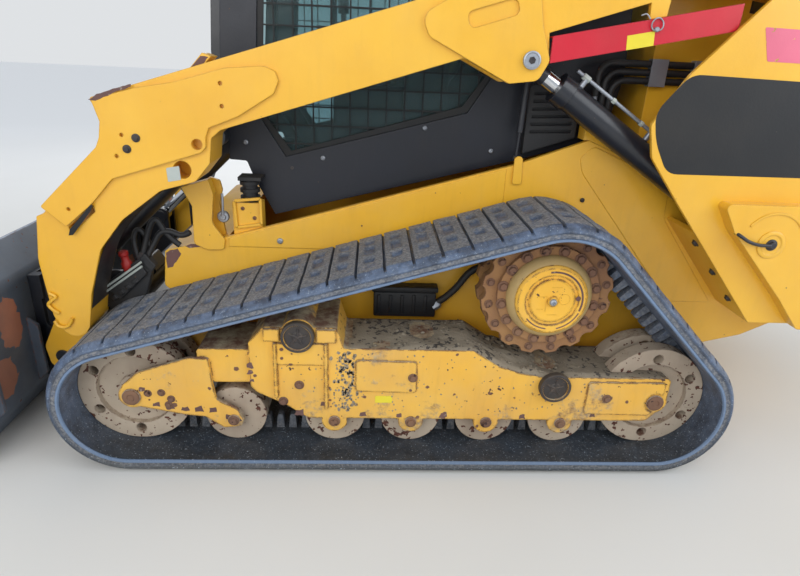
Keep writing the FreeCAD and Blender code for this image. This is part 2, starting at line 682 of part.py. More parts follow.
def make_cab_frame():
    """The cab shell: two side walls with windows, floor, rear wall with its window and the front frame."""
    body = plate(cab_outline(), -CAB_HALF, CAB_HALF)
    inner = [CAB_FLOOR_FRONT, (500, 960), (560, 1040), (565, 1280), (510, CAB_SHELL_TOP + 1),
             (-655, CAB_SHELL_TOP + 1), (-695, 1250), (-660, 1095), CAB_FLOOR_REAR]
    inside = CAB_HALF - CAB_WALL
    body = body.cut(plate(inner, -inside, inside))
    body = body.cut(plate(window_outline(0), -CAB_HALF - 1, CAB_HALF + 1))
    body = body.cut(box(-800, -600, -REAR_WINDOW_HALF, REAR_WINDOW_HALF, 1330, WINDOW_TOP))
    body = body.cut(box(400, 700, -DOOR_HALF, DOOR_HALF, 900, DOOR_TOP + 5))
    x, y = DOOR_HINGE
    for z in DOOR_HINGES:
        knuckle = Part.makeCylinder(HINGE_R, 60, vec(x, y, z))
        leaf = box(540, x, y - 4, y + 4, z, z + 60)
        body = body.multiFuse([knuckle, leaf])
    return body.removeSplitter()


def make_cab_roof():
    """The roof cap, a little wider than the cab, with a rounded brow."""
    low = CAB_SHELL_TOP + FIT
    side = [(640, low, 10), (640, CAB_TOP - 35, 14), (560, CAB_TOP, 30), (-700, CAB_TOP, 30),
            (-790, CAB_TOP - 40, 20), (-790, low, 6)]
    return plate(side, -CAB_HALF - ROOF_SIDE, CAB_HALF + ROOF_SIDE)


def make_side_glass():
    pane = plate(window_outline(-FIT), CAB_HALF - 30, CAB_HALF - 30 + GLASS)
    return pair(pane)


def make_side_screens():
    """The steel screens over the side windows: a rim and a grid of flat bars."""
    rim = plate(window_outline(-1), CAB_HALF - 12, CAB_HALF - 4)
    rim = rim.cut(plate(window_outline(-20), CAB_HALF - 20, CAB_HALF))
    low = (410, 945)
    step = 62
    bars = []
    for i in range(int((505 + 310) / step)):
        x = -310 + (i + 1) * step
        bars.append(box(x, x + 5, CAB_HALF - 10, CAB_HALF - 5, low[1] - 40, WINDOW_TOP + 40))
    for i in range(int((WINDOW_TOP - low[1]) / step)):
        z = low[1] + (i + 0.7) * step
        bars.append(box(-400, 600, CAB_HALF - 10, CAB_HALF - 5, z, z + 5))
    grid = bars[0].multiFuse(bars[1:]).common(plate(window_outline(-10), CAB_HALF - 20, CAB_HALF))
    return pair(rim.fuse(grid).removeSplitter())


def make_rear_glass():
    half = REAR_WINDOW_HALF - FIT
    return box(-728, -728 + GLASS, -half, half, 1330 + FIT, WINDOW_TOP - FIT)


def make_cab_door():
    """The front door: a frame round one large pane, hinged on the machine's left."""
    half = DOOR_HALF - 5
    shape = [(612, 935), (652, 935), (662, 1280), (612, DOOR_TOP), (572, DOOR_TOP), (622, 1280)]
    body = plate(shape, -half, half)
    body = body.cut(box(500, 700, -half + 48, half - 48, 985, DOOR_TOP - 60))
    x, y = DOOR_HINGE
    for z in DOOR_HINGES:
        top = z + 60 + FIT
        knuckle = Part.makeCylinder(HINGE_R, 40, vec(x, y, top))
        leaf = box(x - 6, x + 6, half - 10, y, top, top + 40)
        body = body.multiFuse([knuckle, leaf])
    return body.removeSplitter()


def make_door_glass():
    half = DOOR_HALF - 5 - 48 - FIT
    low = 985 + FIT
    high = DOOR_TOP - 60 - FIT
    shape = [(634, low), (640, low), (646, 1280), (604, high), (598, high), (640, 1280)]
    return plate(shape, -half, half)


def make_seat():
    """The operator's seat: cushion, back and headrest as one soft solid."""
    shape = [(-120, SEAT_LOW, 30), (330, SEAT_LOW, 40), (330, SEAT_LOW + 110, 40), (20, SEAT_LOW + 100, 60),
             (-70, SEAT_TOP, 50), (-190, SEAT_TOP, 50), (-160, SEAT_LOW + 110, 40)]
    return plate(shape, -SEAT_HALF, SEAT_HALF)


def standing(x0, x1, y0, y1, top):
    """A box that stands on the sloped cab floor."""
    foot = [(x0, cab_floor(x0) + FIT), (x1, cab_floor(x1) + FIT), (x1, top), (x0, top)]
    return plate(foot, y0, y1)


def make_seat_base():
    return standing(-110, 260, -SEAT_HALF + 25, SEAT_HALF - 25, SEAT_LOW - FIT)


def make_consoles():
    """Armrest consoles with a control lever on each."""
    solids = []
    for sign in (-1, 1):
        y0, y1 = sorted((sign * (CAB_HALF - 165), sign * (CAB_HALF - 65)))
        middle = (y0 + y1) / 2
        tray = box(-150, 300, y0, y1, SEAT_LOW + 120, SEAT_LOW + 190)
        leg = standing(-150, 0, y0, y1, SEAT_LOW + 121)
        stem = Part.makeCylinder(12, 90, vec(250, middle, SEAT_LOW + 190))
        grip = Part.makeCylinder(24, 110, vec(250, middle, SEAT_LOW + 275))
        solids.append(tray.multiFuse([leg, stem, grip]).removeSplitter())
    return Part.makeCompound(solids)


def arm_outline():
    """The lift arm seen from the side: leg, knee with its inner arc, long beam and rear end."""
    return [(1098, 318, 45), (1152, 440, 40), (1165, 636, 150), (1143, 780, 6), (1122, 788, 6), (925, 985, 15),
            (905, 1030, 15), (893, 1072, 6), (930, 1137, 8), (-860, 1702, 220), (-1470, 1680, 60), (-1535, 1600, 60),
            (-1500, 1490, 60), (-1290, 1455, 60), (-860, 1516, 200), (560, 1060, 15), (590, 1035, 10), (600, 960, 15),
            (648, 903, 20), (756, 872, 60), (885, 775, 80), (966, 675, 70), (1018, 520, 80), (1042, 400, 15)]


def knee_outline():
    """The broad plate on the knee's outer side, with its notch in front and its long rounded tail."""
    return [(919, 1134, 6), (903, 1073, 6), (912, 1027, 15), (925, 999, 15), (1119, 814, 6), (1053, 752, 4),
            (966, 825, 10), (892, 906, 6), (620, 993, 12), (605, 1010, 5), (603, 1038, 10), (592, 1066, 8),
            (506, 1101, 30), (398, 1169, 25), (383, 1205, 12), (392, 1230, 10), (422, 1243, 20), (535, 1233, 40),
            (683, 1189, 60), (791, 1170, 60)]


def make_arm():
    """One lift arm: a box beam with a fork for the rear link and an ear at the bucket pin."""
    body = plate(arm_outline(), ARM_IN, ARM_OUT)
    body = body.cut(box(-1600, PIVOT_C[0] + 78, FORK_IN, FORK_OUT, 1400, 1800))
    x, z = BUCKET_PIN
    nose = [(1040, 480), (1150, 560, 30), (1200, 400, 60), (x + 56, z + 40, 40), (x + 44, z - 50, 36),
            (x - 40, z - 50, 36), (1085, 380)]
    nose_plate = plate(nose, ARM_IN, ARM_IN + 40)
    knee = plate(knee_outline(), ARM_OUT, ARM_OUT + FACE)
    drop = [(-60, 1330), (-284, 1224, 20), (-370, 1235, 30), (-398, 1290, 30), (-385, 1400)]
    cheeks = [plate(drop, ARM_IN, ARM_IN + CHEEK), plate(drop, ARM_OUT - CHEEK, ARM_OUT)]
    face = [(-20, 1395, 35), (-45, 1340, 30), (-284, 1224, 20), (-370, 1235, 30), (-398, 1290, 30), (-367, 1379, 30),
            (-353, 1446), (-340, 1520), (-110, 1448)]
    overlay = plate(face, ARM_OUT, ARM_OUT + FACE)
    slot = [(-146, 1407, 18), (-160, 1364, 18), (-298, 1408, 18), (-284, 1451, 18)]
    overlay = overlay.cut(plate(slot, ARM_OUT + 5, ARM_OUT + FACE + 1))
    hanger = plate([(-722, stand_top(-722) + FIT), (-674, stand_top(-674) + FIT), (-668, 1480), (-728, 1500)],
                   ARM_OUT - 18, ARM_OUT)
    catch = plate([(640, 1226), (600, 1271), (574, 1263), (606, 1230)], ARM_IN + 60, ARM_OUT - 12)
    body = body.multiFuse([nose_plate, knee, overlay, hanger, catch] + cheeks)
    outside = ARM_OUT + FACE + 1
    cuts = [across(x, z, BUCKET_PIN_R + FIT, ARM_IN - 1, outside),
            plate([(1046, 728), (1052, 748), (966, 821), (962, 800)], ARM_OUT - 40, outside),
            across(684, 938, 27, ARM_OUT - 70, outside),
            across(630, 1017, 16, ARM_OUT - 20, outside)]
    for hole in ((549, 1192), (549, 1129), (846, 1037), (868, 975), (1036, 808)):
        cuts.append(across(hole[0], hole[1], 6, ARM_OUT, outside))
    return pair(body.cut(Part.makeCompound(cuts)).removeSplitter())


def make_arm_pins():
    """The arms' pivot pins and round bosses, each between the plates that carry it."""
    inner = ARM_IN - 5
    solids = [across(PIVOT_C[0], PIVOT_C[1], LINK_PIN_R, FORK_IN, FORK_OUT),
              across(PIVOT_C[0], PIVOT_C[1], 40, ARM_OUT, ARM_OUT + 12),
              across(PIVOT_D[0], PIVOT_D[1], LINK_PIN_R + 15, inner, ARM_IN),
              across(LIFT_PIN[0], LIFT_PIN[1], LINK_PIN_R, ARM_OUT + FACE, ARM_OUT + FACE + 10)]
    tilt_pin = across(TILT_TOP[0], TILT_TOP[1], TILT_PIN_R, TILT_Y - 44, ARM_IN)
    boss = across(TILT_TOP[0], TILT_TOP[1], 40, TILT_Y + 42, ARM_IN)
    solids.append(tilt_pin.fuse(boss).removeSplitter())
    return pair(Part.makeCompound(solids))


def make_cross_tubes():
    """The tubes that join the left and right arms: behind the cab, and low in front on two gussets."""
    rear = across(REAR_TUBE[0], REAR_TUBE[1], REAR_TUBE_R, -ARM_IN, ARM_IN)
    end = ARM_IN - GUSSET - CHEEK + 1
    x, z = FRONT_TUBE
    front = across(x, z, FRONT_TUBE_R, -end, end)
    gusset = plate([(905, 385, 30), (1080, 385), (1080, 545), (985, 545, 40), (905, 500, 30)], end, end + GUSSET)
    spacer = box(1050, 1080, end + GUSSET, ARM_IN, 432, 540)
    left = gusset.fuse(spacer)
    return Part.makeCompound([rear, front.multiFuse([left, mirrored(left)]).removeSplitter()])


def make_line_block():
    """The block of hydraulic couplings that straddles the front cross tube."""
    shape = [(915, 487, 8), (1030, 423, 8), (1062, 470, 8), (950, 540, 8)]
    body = plate(shape, 290, 415)
    return body.cut(across(FRONT_TUBE[0], FRONT_TUBE[1], FRONT_TUBE_R + FIT, 200, 500))


def stand_top(x):
    """Height of the arm stand's upper edge at x."""
    share = (STAND_FRONT[0] - x) / (STAND_FRONT[0] - STAND_REAR[0])
    return STAND_FRONT[1] + STAND_DEPTH / 2 + share * (STAND_REAR[1] - STAND_FRONT[1])


def make_stand():
    """The arm stand: a channel stored under the lift arm, with its web outside."""
    x0, z0 = STAND_FRONT
    x1, z1 = STAND_REAR
    half = STAND_DEPTH / 2
    shape = [(x0, z0 - half), (x0, z0 + half), (x1, z1 + half), (x1, z1 - half, 20)]
    body = plate(shape, STAND_IN, STAND_OUT)
    wall = 6
    inner = [(x0 + 9, z0 - half + wall), (x0 + 9, z0 + half - wall), (x1 - 9, z1 + half - wall),
             (x1 - 9, z1 - half + wall)]
    return body.cut(plate(inner, STAND_IN - 1, STAND_OUT - wall))


def cylinder_parts(base, eye, y, bore, rod, pin, barrel_share, spare):
    """A cylinder's barrel with its base eye, and its rod with a plain round head, along base to eye.
    The spare is how far the rod can still slide in from rest."""
    run = math.hypot(eye[0] - base[0], eye[1] - base[1])
    ux = (eye[0] - base[0]) / run
    uz = (eye[1] - base[1]) / run
    foot = vec(base[0], y, base[1])
    along = vec(ux, 0, uz)
    mouth = run * barrel_share
    tube = Part.makeCylinder(bore, mouth - pin - 22, foot.add(vec(ux, 0, uz).multiply(pin + 22)), along)
    gland = Part.makeCylinder(bore + 5, 46, foot.add(vec(ux, 0, uz).multiply(mouth - 40)), along)
    neck = Part.makeCylinder(bore * 0.7, pin + 24, foot, along)
    lug = across(base[0], base[1], pin + 18, y - bore + 6, y + bore - 6)
    barrel = tube.multiFuse([gland, neck, lug])
    bore_cut = Part.makeCylinder(rod + FIT, run, foot.add(vec(ux, 0, uz).multiply(pin + 60)), along)
    barrel = barrel.cut(bore_cut).cut(across(base[0], base[1], pin + FIT, y - 200, y + 200))
    inside = pin + 62 + spare
    shaft = Part.makeCylinder(rod, run - inside, foot.add(vec(ux, 0, uz).multiply(inside)), along)
    head = across(eye[0], eye[1], pin + 18, y - bore + 8, y + bore - 8)
    return barrel.removeSplitter(), shaft.fuse(head).removeSplitter()


def make_lift_lines():
    """The steel line on each lift cylinder's barrel, on two short posts."""
    run = math.hypot(LIFT_PIN[0] - LIFT_BASE[0], LIFT_PIN[1] - LIFT_BASE[1])
    ux = (LIFT_PIN[0] - LIFT_BASE[0]) / run
    uz = (LIFT_PIN[1] - LIFT_BASE[1]) / run
    over = vec(-uz, 0, ux)
    height = 74
    start = vec(LIFT_BASE[0] + ux * 520, LIFT_Y, LIFT_BASE[1] + uz * 520)
    end = vec(LIFT_BASE[0] + ux * 800, LIFT_Y, LIFT_BASE[1] + uz * 800)
    pieces = []
    for foot in (start, end):
        base = foot.add(FreeCAD.Vector(over).multiply(LIFT_BORE_R + FIT))
        pieces.append(Part.makeCylinder(9, height - LIFT_BORE_R, base, over))
    high = start.add(FreeCAD.Vector(over).multiply(height))
    line = Part.makeCylinder(6, 360, high.sub(FreeCAD.Vector(ux, 0, uz).multiply(40)), vec(ux, 0, uz))
    return pair(line.multiFuse(pieces).removeSplitter())


def make_rear_links():
    body = link(PIVOT_A, PIVOT_C, 60, 55, FORK_IN + 7, FORK_OUT - 7)
    for x, z in (PIVOT_A, PIVOT_C):
        body = body.cut(across(x, z, LINK_PIN_R + FIT, FORK_IN, FORK_OUT))
    return pair(body)


def make_front_links():
    """The front links, each with a bore on the tower's stub and its own stub at the upper end."""
    body = link(PIVOT_B, PIVOT_D, 50, 45, LINK_IN, LINK_IN + LINK_THICK)
    body = body.cut(across(PIVOT_B[0], PIVOT_B[1], LINK_PIN_R + FIT, LINK_IN - 1, LINK_IN + LINK_THICK + 1))
    return pair(body.fuse(across(PIVOT_D[0], PIVOT_D[1], LINK_PIN_R + 6, LINK_IN - 7, LINK_IN + 1)))


def make_coupler():
    """The quick-attach frame: two cross bars, uprights, ears for the bucket pins and the tilt eyes."""
    x0 = COUPLER_BACK
    x1 = BUCKET_BACK - FIT
    px, pz = BUCKET_PIN
    tx, tz = TILT_EYE
    lower = box(x0, x1, -COUPLER_HALF, COUPLER_HALF, 120, 210)
    upper = box(x0, x1, -COUPLER_HALF, COUPLER_HALF, 430, 520)
    pin_ear = [(x1, 120), (x1, 520), (x0 + 8, 520), (x0 + 8, 330, 30), (px + 20, pz + 50, 20),
               (px - 46, pz + 50, 40), (px - 46, pz - 50, 40), (x0 - 20, 120, 20)]
    tilt_ear = [(x1, 120), (x1, 520), (x0 - 10, 520, 20), (tx - 42, tz + 40, 34), (tx - 42, tz - 50, 60),
                (px - 46, pz + 46, 40), (px - 46, pz - 50, 40), (x0 - 20, 120, 20)]
    near = TILT_Y - TILT_EAR_GAP / 2
    far = TILT_Y + TILT_EAR_GAP / 2
    pocket = box(x0 - 1, x1 - 12, near, far, 429, 521)
    upper = upper.cut(pocket).cut(mirrored(pocket))
    pieces = [plate(pin_ear, far, COUPLER_HALF), plate(tilt_ear, near - 22, near), plate(tilt_ear, far, far + 18),
              across(px, pz, BUCKET_PIN_R, near - 22, ARM_IN + 44),
              across(tx, tz, TILT_PIN_R + 12, near - 28, near - 2),
              across(tx, tz, TILT_PIN_R + 12, far + 2, far + 19)]
    left = pieces[0].multiFuse(pieces[1:])
    return lower.multiFuse([upper, left, mirrored(left)]).removeSplitter()


def bucket_outline(front):
    """The bucket's side: flat floor, rounded heel, upright back and a top lip that leans forward."""
    return [(front, 0), (BUCKET_BACK + 70, 0, 70), (BUCKET_BACK, 120, 60), (BUCKET_BACK, 530, 60),
            (BUCKET_BACK + 80, BUCKET_TOP), (BUCKET_BACK + 112, BUCKET_TOP - 8), (front - 20, 230, 60)]


def make_bucket():
    """The bucket shell: wrapped floor and back between two side plates, with hook ribs behind."""
    body = plate(bucket_outline(BUCKET_FRONT - 60), -BUCKET_HALF, BUCKET_HALF)
    t = BUCKET_PLATE
    floor_end = BUCKET_FRONT - EDGE_LENGTH
    cavity = [(floor_end, -1), (floor_end, t), (BUCKET_BACK + 76, t, 60), (BUCKET_BACK + t, 126, 50),
              (BUCKET_BACK + t, 526, 50), (BUCKET_BACK + 90, BUCKET_TOP - 12), (BUCKET_BACK + 140, BUCKET_TOP + 80),
              (BUCKET_FRONT + 60, BUCKET_TOP + 80), (BUCKET_FRONT + 60, -1)]
    body = body.cut(plate(cavity, -BUCKET_HALF + t, BUCKET_HALF - t))
    rib = [(BUCKET_BACK + 2, 130), (BUCKET_BACK + 2, 380), (BUCKET_BACK - 34, 350, 12), (BUCKET_BACK - 34, 160, 12)]
    ribs = []
    for y in (COUPLER_HALF + 40, (COUPLER_HALF + BUCKET_HALF) / 2 + 85):
        left = plate(rib, y, y + BUCKET_PLATE)
        ribs += [left, mirrored(left)]
    return body.multiFuse(ribs).removeSplitter()


def make_cutting_edge():
    """The bevelled edge plate, butted to the bucket's floor between its side plates."""
    half = BUCKET_HALF - BUCKET_PLATE - FIT
    start = BUCKET_FRONT - EDGE_LENGTH + FIT
    shape = [(start, 0), (BUCKET_FRONT, 0), (BUCKET_FRONT - 45, EDGE_PLATE), (start, EDGE_PLATE)]
    return plate(shape, -half, half)


def make_lamps():
    """Work lamps: two on the cab's brow and two at the rear of the roof."""
    solids = []
    for x in (640 + FIT, -790 - FIT - LAMP_DEPTH):
        for y in (-LAMP_Y, LAMP_Y):
            solids.append(box(x, x + LAMP_DEPTH, y - LAMP_HALF, y + LAMP_HALF, CAB_SHELL_TOP + 2, CAB_TOP - 37))
    return Part.makeCompound(solids)


def make_exhaust():
    """The exhaust pipe on the deck behind the cab, open at its slanted top."""
    pipe = Part.makeCylinder(38, 150, vec(-862, 330, HOOD_TOP + FIT))
    pipe = pipe.cut(Part.makeCylinder(33, 200, vec(-862, 330, HOOD_TOP + 12)))
    slant = plate([(-910, 1600), (-910, 1700), (-810, 1700), (-810, 1655)], 280, 380)
    return pipe.cut(slant)


def make_front_brackets():
    """The brackets at the tub's front corners: outer post, inner cheek, cab mount box and strut eye."""
    inside = CHASSIS_HALF - CHASSIS_WALL
    post = [(614, 668, 12), (620, 633, 12), (676, 631, 8), (721, 651, 20), (716, 785, 6), (747, 849, 4), (656, 878, 4),
            (642, 827, 20), (655, 729, 40)]
    outer = plate(post, CHASSIS_HALF, CHASSIS_HALF + 10)
    bend = plate([(716, 785), (747, 849), (656, 878), (642, 827)], CHASSIS_HALF - 30, CHASSIS_HALF + 1)
    cheek = plate([(622, sill_top(622) + FIT), (682, sill_top(682) + FIT), (660, 750, 30), (690, 820, 20), (669, 878, 10),
                   (631, 866, 10), (624, 833, 12), (637, 785, 20)], CHASSIS_HALF - 55, CHASSIS_HALF - 43)
    mount = box(488, 588, inside - 62, inside, 600, 795)
    mount = mount.cut(box(496, 590, inside - 56, inside - 6, 560, 787))
    eye = plate([(-405, 895, 10), (-372, 895, 10), (-372, 990, 14), (-400, 990, 14)], CHASSIS_HALF, CHASSIS_HALF + 8)
    eye = eye.fuse(across(-386, 976, 7, STRUT_Y + 8 + FIT, CHASSIS_HALF + 1))
    return pair(Part.makeCompound([outer.fuse(bend).removeSplitter(), cheek, mount, eye.removeSplitter()]))


def make_cab_mounts():
    """Rubber mounts ahead of the cab's toe, each between its box bracket and a foot on the cab."""
    inside = CHASSIS_HALF - CHASSIS_WALL
    y = inside - 31
    rubber = Part.makeCylinder(26, 76, vec(530, y, 795))
    washers = [Part.makeCylinder(34, 12, vec(530, y, z)) for z in (803, 829, 855)]
    foot = box(486, 564, CAB_HALF, inside, 871, 883)
    return pair(rubber.multiFuse(washers + [foot]).removeSplitter())


def make_cab_struts():
    """The gas struts that hold the cab when it is tilted: tube above, thin rod below."""
    foot = vec(-386, STRUT_Y, 976)
    head = vec(-397, STRUT_Y, 1231)
    along = head.sub(foot)
    rod = Part.makeCylinder(5, along.Length, foot, along)
    tube = Part.makeCylinder(12, along.Length * 0.66, foot.add(FreeCAD.Vector(along).multiply(0.34)), along)
    eyes = [across(foot.x, foot.z, 12, STRUT_Y - 8, STRUT_Y + 8), across(head.x, head.z, 10, CAB_HALF + FIT, STRUT_Y + 8)]
    return pair(rod.multiFuse([tube] + eyes).removeSplitter())


def make_louvre_panels():
    """The black louvred panels on the cab's rear corners."""
    y0 = CAB_HALF + FIT
    shape = [(-412, 990), (-412, 1215, 12), (-590, 1232, 12), (-590, 1050)]
    body = plate(shape, y0, y0 + 36)
    slots = []
    for i in range(6):
        z = 1060 + i * 25
        slots.append(plate([(-430, z), (-430, z + 9), (-572, z + 15), (-572, z + 6)], y0 + 24, y0 + 37))
    return pair(body.cut(Part.makeCompound(slots)))


def hose(x, z, radius, start):
    """A line that rises from height start at x, bends through a quarter turn and runs rearward at z."""
    spine = [Part.LineSegment(vec(x, HOSE_Y, start), vec(x, HOSE_Y, z - HOSE_BEND)).toShape()]
    half = HOSE_BEND * (1 - math.sqrt(0.5))
    spine.append(Part.Arc(vec(x, HOSE_Y, z - HOSE_BEND), vec(x - half, HOSE_Y, z - half),
                          vec(x - HOSE_BEND, HOSE_Y, z)).toShape())
    spine.append(Part.LineSegment(vec(x - HOSE_BEND, HOSE_Y, z), vec(HOSE_END, HOSE_Y, z)).toShape())
    ring = Part.Wire([Part.Circle(vec(x, HOSE_Y, start), vec(0, 0, 1), radius).toShape()])
    return Part.Wire(spine).makePipeShell([ring], True, False)


def make_rubber_hoses():
    """Three hoses that rise off the steel lines and run back beside the engine bay."""
    solids = []
    for i in range(len(LINE_X)):
        solids.append(Part.Solid(hose(LINE_X[i], HOSE_Z[i], HOSE_R, HOSE_Z[i] - 105)))
    return Part.makeCompound(solids)


def make_steel_lines():
    """The upright steel lines below the hoses, with the clamp and end block that hold the hoses."""
    solids = []
    for i in range(len(LINE_X)):
        low = 1115 + FIT
        solids.append(Part.makeCylinder(LINE_R, HOSE_Z[i] - 105 - FIT - low, vec(LINE_X[i], HOSE_Y, low)))
    clamp = box(-842, -788, BAY_HALF + FIT, CHASSIS_HALF - 5, 1228, 1312)
    for z in HOSE_Z:
        clamp = clamp.cut(Part.makeCylinder(HOSE_R + FIT, 100, vec(-860, HOSE_Y, z), vec(1, 0, 0)))
    end = box(HOSE_END - 30, HOSE_END - FIT, BAY_HALF + FIT, CHASSIS_HALF - 5, 1228, 1312)
    return Part.makeCompound(solids + [clamp, end])


def make_valve_block():
    """The valve block that stands on the chassis wall under the steel lines."""
    crest = FENDER[1] + FIT
    shape = [(-700, fender_top(-700) + FIT), (FENDER[0], crest), (-600, crest), (-600, 1115, 6), (-700, 1115, 6)]
    return plate(shape, CHASSIS_HALF - 60, CHASSIS_HALF)


def main():
    lift = cylinder_parts(LIFT_BASE, LIFT_PIN, LIFT_Y, LIFT_BORE_R, LIFT_ROD_R, LINK_PIN_R, 0.86, 0)
    tilt = cylinder_parts(TILT_TOP, TILT_EYE, TILT_Y, TILT_BORE_R, TILT_ROD_R, TILT_PIN_R, 0.76, 130)
    write("track_left", make_track())
    write("track_right", mirrored(make_track()))
    write("track_frames", make_track_frame())
    write("idlers", make_idlers())
    write("rollers", make_rollers())
    write("wheel_shafts", make_shafts())
    write("sprockets", make_sprocket())
    write("final_drives", make_final_drive())
    write("torsion_axles", make_axles())
    write("tower_plates", make_tower_plates())
    write("tower_inner_plates", make_tower_inner())
    write("tower_rims", make_tower_rims())
    write("tower_pins", make_tower_pins())
    write("tower_covers", make_tower_covers())
    write("chassis_frame", make_chassis())
    write("front_brackets", make_front_brackets())
    write("rear_bumper", make_rear_bumper())
    write("engine_block", make_engine())
    write("radiator", make_radiator())
    write("engine_bay", make_engine_walls())
    write("hood", make_hood())
    write("rear_door", make_rear_door())
    write("exhaust_pipe", make_exhaust())
    write("cab_frame", make_cab_frame())
    write("cab_roof", make_cab_roof())
    write("cab_side_glass", make_side_glass())
    write("cab_side_screens", make_side_screens())
    write("cab_rear_glass", make_rear_glass())
    write("cab_door", make_cab_door())
    write("cab_door_glass", make_door_glass())
    write("cab_mounts", make_cab_mounts())
    write("cab_struts", make_cab_struts())
    write("louvre_panels", make_louvre_panels())
    write("seat", make_seat())
    write("seat_base", make_seat_base())
    write("consoles", make_consoles())
    write("lamps", make_lamps())
    write("rubber_hoses", make_rubber_hoses())
    write("steel_lines", make_steel_lines())
    write("valve_block", make_valve_block())
    write("lift_arms", make_arm())
    write("arm_pins", make_arm_pins())
    write("arm_cross_tubes", make_cross_tubes())
    write("arm_line_block", make_line_block())
    write("arm_stand", make_stand())
    write("rear_links", make_rear_links())
    write("front_links", make_front_links())
    write("lift_barrels", pair(lift[0]))
    write("lift_rods", pair(lift[1]))
    write("lift_lines", make_lift_lines())
    write("tilt_barrels", pair(tilt[0]))
    write("tilt_rods", pair(tilt[1]))
    write("coupler", make_coupler())
    write("bucket", make_bucket())
    write("cutting_edge", make_cutting_edge())


main()
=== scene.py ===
# %% [markdown]
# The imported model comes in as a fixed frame. Every step below dresses it and never moves it.
# %%
# Load the frame
import math
import random
import bmesh
import bpy
from mathutils import Matrix, Vector, noise


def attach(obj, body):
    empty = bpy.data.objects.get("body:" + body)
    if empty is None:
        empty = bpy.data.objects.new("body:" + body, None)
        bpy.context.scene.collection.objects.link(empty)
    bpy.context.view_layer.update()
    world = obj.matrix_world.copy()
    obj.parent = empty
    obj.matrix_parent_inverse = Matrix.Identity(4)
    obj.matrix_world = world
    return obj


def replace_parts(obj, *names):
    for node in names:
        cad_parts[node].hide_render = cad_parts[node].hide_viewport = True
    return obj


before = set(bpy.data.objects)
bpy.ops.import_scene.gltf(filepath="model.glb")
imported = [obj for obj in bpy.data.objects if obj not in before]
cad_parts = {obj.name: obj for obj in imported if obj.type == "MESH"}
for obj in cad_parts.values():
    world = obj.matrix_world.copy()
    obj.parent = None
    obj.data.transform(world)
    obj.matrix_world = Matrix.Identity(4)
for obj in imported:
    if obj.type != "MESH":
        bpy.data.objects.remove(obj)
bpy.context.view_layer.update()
scene = bpy.context.scene

# %% [markdown]
# The camera stands where the photograph was taken: close to the left track, a little above it, with a wide lens.
# %%
# Camera
CAMERA_AT = Vector((0.1107, 2.4749, 1.2770))
PITCH, YAW, ROLL = 0.38358, -0.05961, 0.04493


def link_new(name, data):
    """A new object in the scene, made of a mesh, a curve, a lamp or a camera."""
    made = bpy.data.objects.new(name, data)
    scene.collection.objects.link(made)
    return made


def look(location, pitch, yaw, roll):
    """A camera matrix from a level view along -Y, turned by three angles in radians."""
    right = Vector((-1, 0, 0))
    up = Vector((0, 0, 1))
    back = Vector((0, 1, 0))
    turn = Matrix.Rotation(yaw, 3, "Z")
    right, up, back = turn @ right, turn @ up, turn @ back
    c, s = math.cos(pitch), math.sin(pitch)
    back, up = back * c + up * s, up * c - back * s
    c, s = math.cos(roll), math.sin(roll)
    right, up = right * c + up * s, up * c - right * s
    m = Matrix((right, up, back)).transposed().to_4x4()
    m.translation = location
    return m


camera_data = bpy.data.cameras.new("camera")
camera_data.sensor_width = 36
camera_data.lens = 25.48
camera_data.clip_end = 60
camera = link_new("camera", camera_data)
camera.matrix_world = look(CAMERA_AT, PITCH, YAW, ROLL)
scene.camera = camera
print("lens", camera_data.lens, "at", [round(v, 2) for v in camera.location])

# %% [markdown]
# A pale floor, a soft sky and three large lamps light the machine at a plain level.
# %%
# Floor, sky and lamps
FLOOR_HALF = 40


def rgb(r, g, b):
    """A colour as it shows on screen, 0 to 255, turned into the linear values that shaders take."""
    out = []
    for v in (r, g, b):
        v = v / 255
        out.append(v / 12.92 if v <= 0.04045 else ((v + 0.055) / 1.055) ** 2.4)
    return (*out, 1)


def area_lamp(name, place, target, size, watts, tint):
    """A round lamp that stands at a place and shines at a target."""
    data = bpy.data.lights.new(name, "AREA")
    data.shape = "DISK"
    data.size = size
    data.energy = watts
    data.color = tint
    lamp = link_new(name, data)
    lamp.location = place
    lamp.rotation_euler = (Vector(target) - Vector(place)).to_track_quat("-Z", "Y").to_euler()


area_lamp("key_lamp", (2.2, 5.6, 3.4), (0, 0.6, 0.6), 4.5, 158, (1, 0.985, 0.96))
area_lamp("fill_lamp", (-4.2, 3.6, 3.2), (-0.2, 0.6, 0.6), 4.5, 120, (0.95, 0.975, 1))
area_lamp("back_lamp", (0.5, -5.0, 4.5), (0, 0, 0.8), 5.0, 150, (1, 1, 1))

# The camera sees a plain pale backdrop, and the sky lights the rest
world = bpy.data.worlds.new("sky")
scene.world = world
world.use_nodes = True
nodes = world.node_tree.nodes
links = world.node_tree.links
sky = nodes["Background"]
sky.inputs["Color"].default_value = (0.84, 0.88, 0.93, 1)
sky.inputs["Strength"].default_value = 0.78
seen = nodes.new("ShaderNodeBackground")
seen.inputs["Color"].default_value = (0.74, 0.76, 0.78, 1)
seen.inputs["Strength"].default_value = 1.0
path = nodes.new("ShaderNodeLightPath")
either = nodes.new("ShaderNodeMath")
either.operation = "MAXIMUM"
links.new(path.outputs["Is Camera Ray"], either.inputs[0])
links.new(path.outputs["Is Transmission Ray"], either.inputs[1])
mix = nodes.new("ShaderNodeMixShader")
links.new(either.outputs[0], mix.inputs[0])
links.new(sky.outputs[0], mix.inputs[1])
links.new(seen.outputs[0], mix.inputs[2])
links.new(mix.outputs[0], nodes["World Output"].inputs[0])

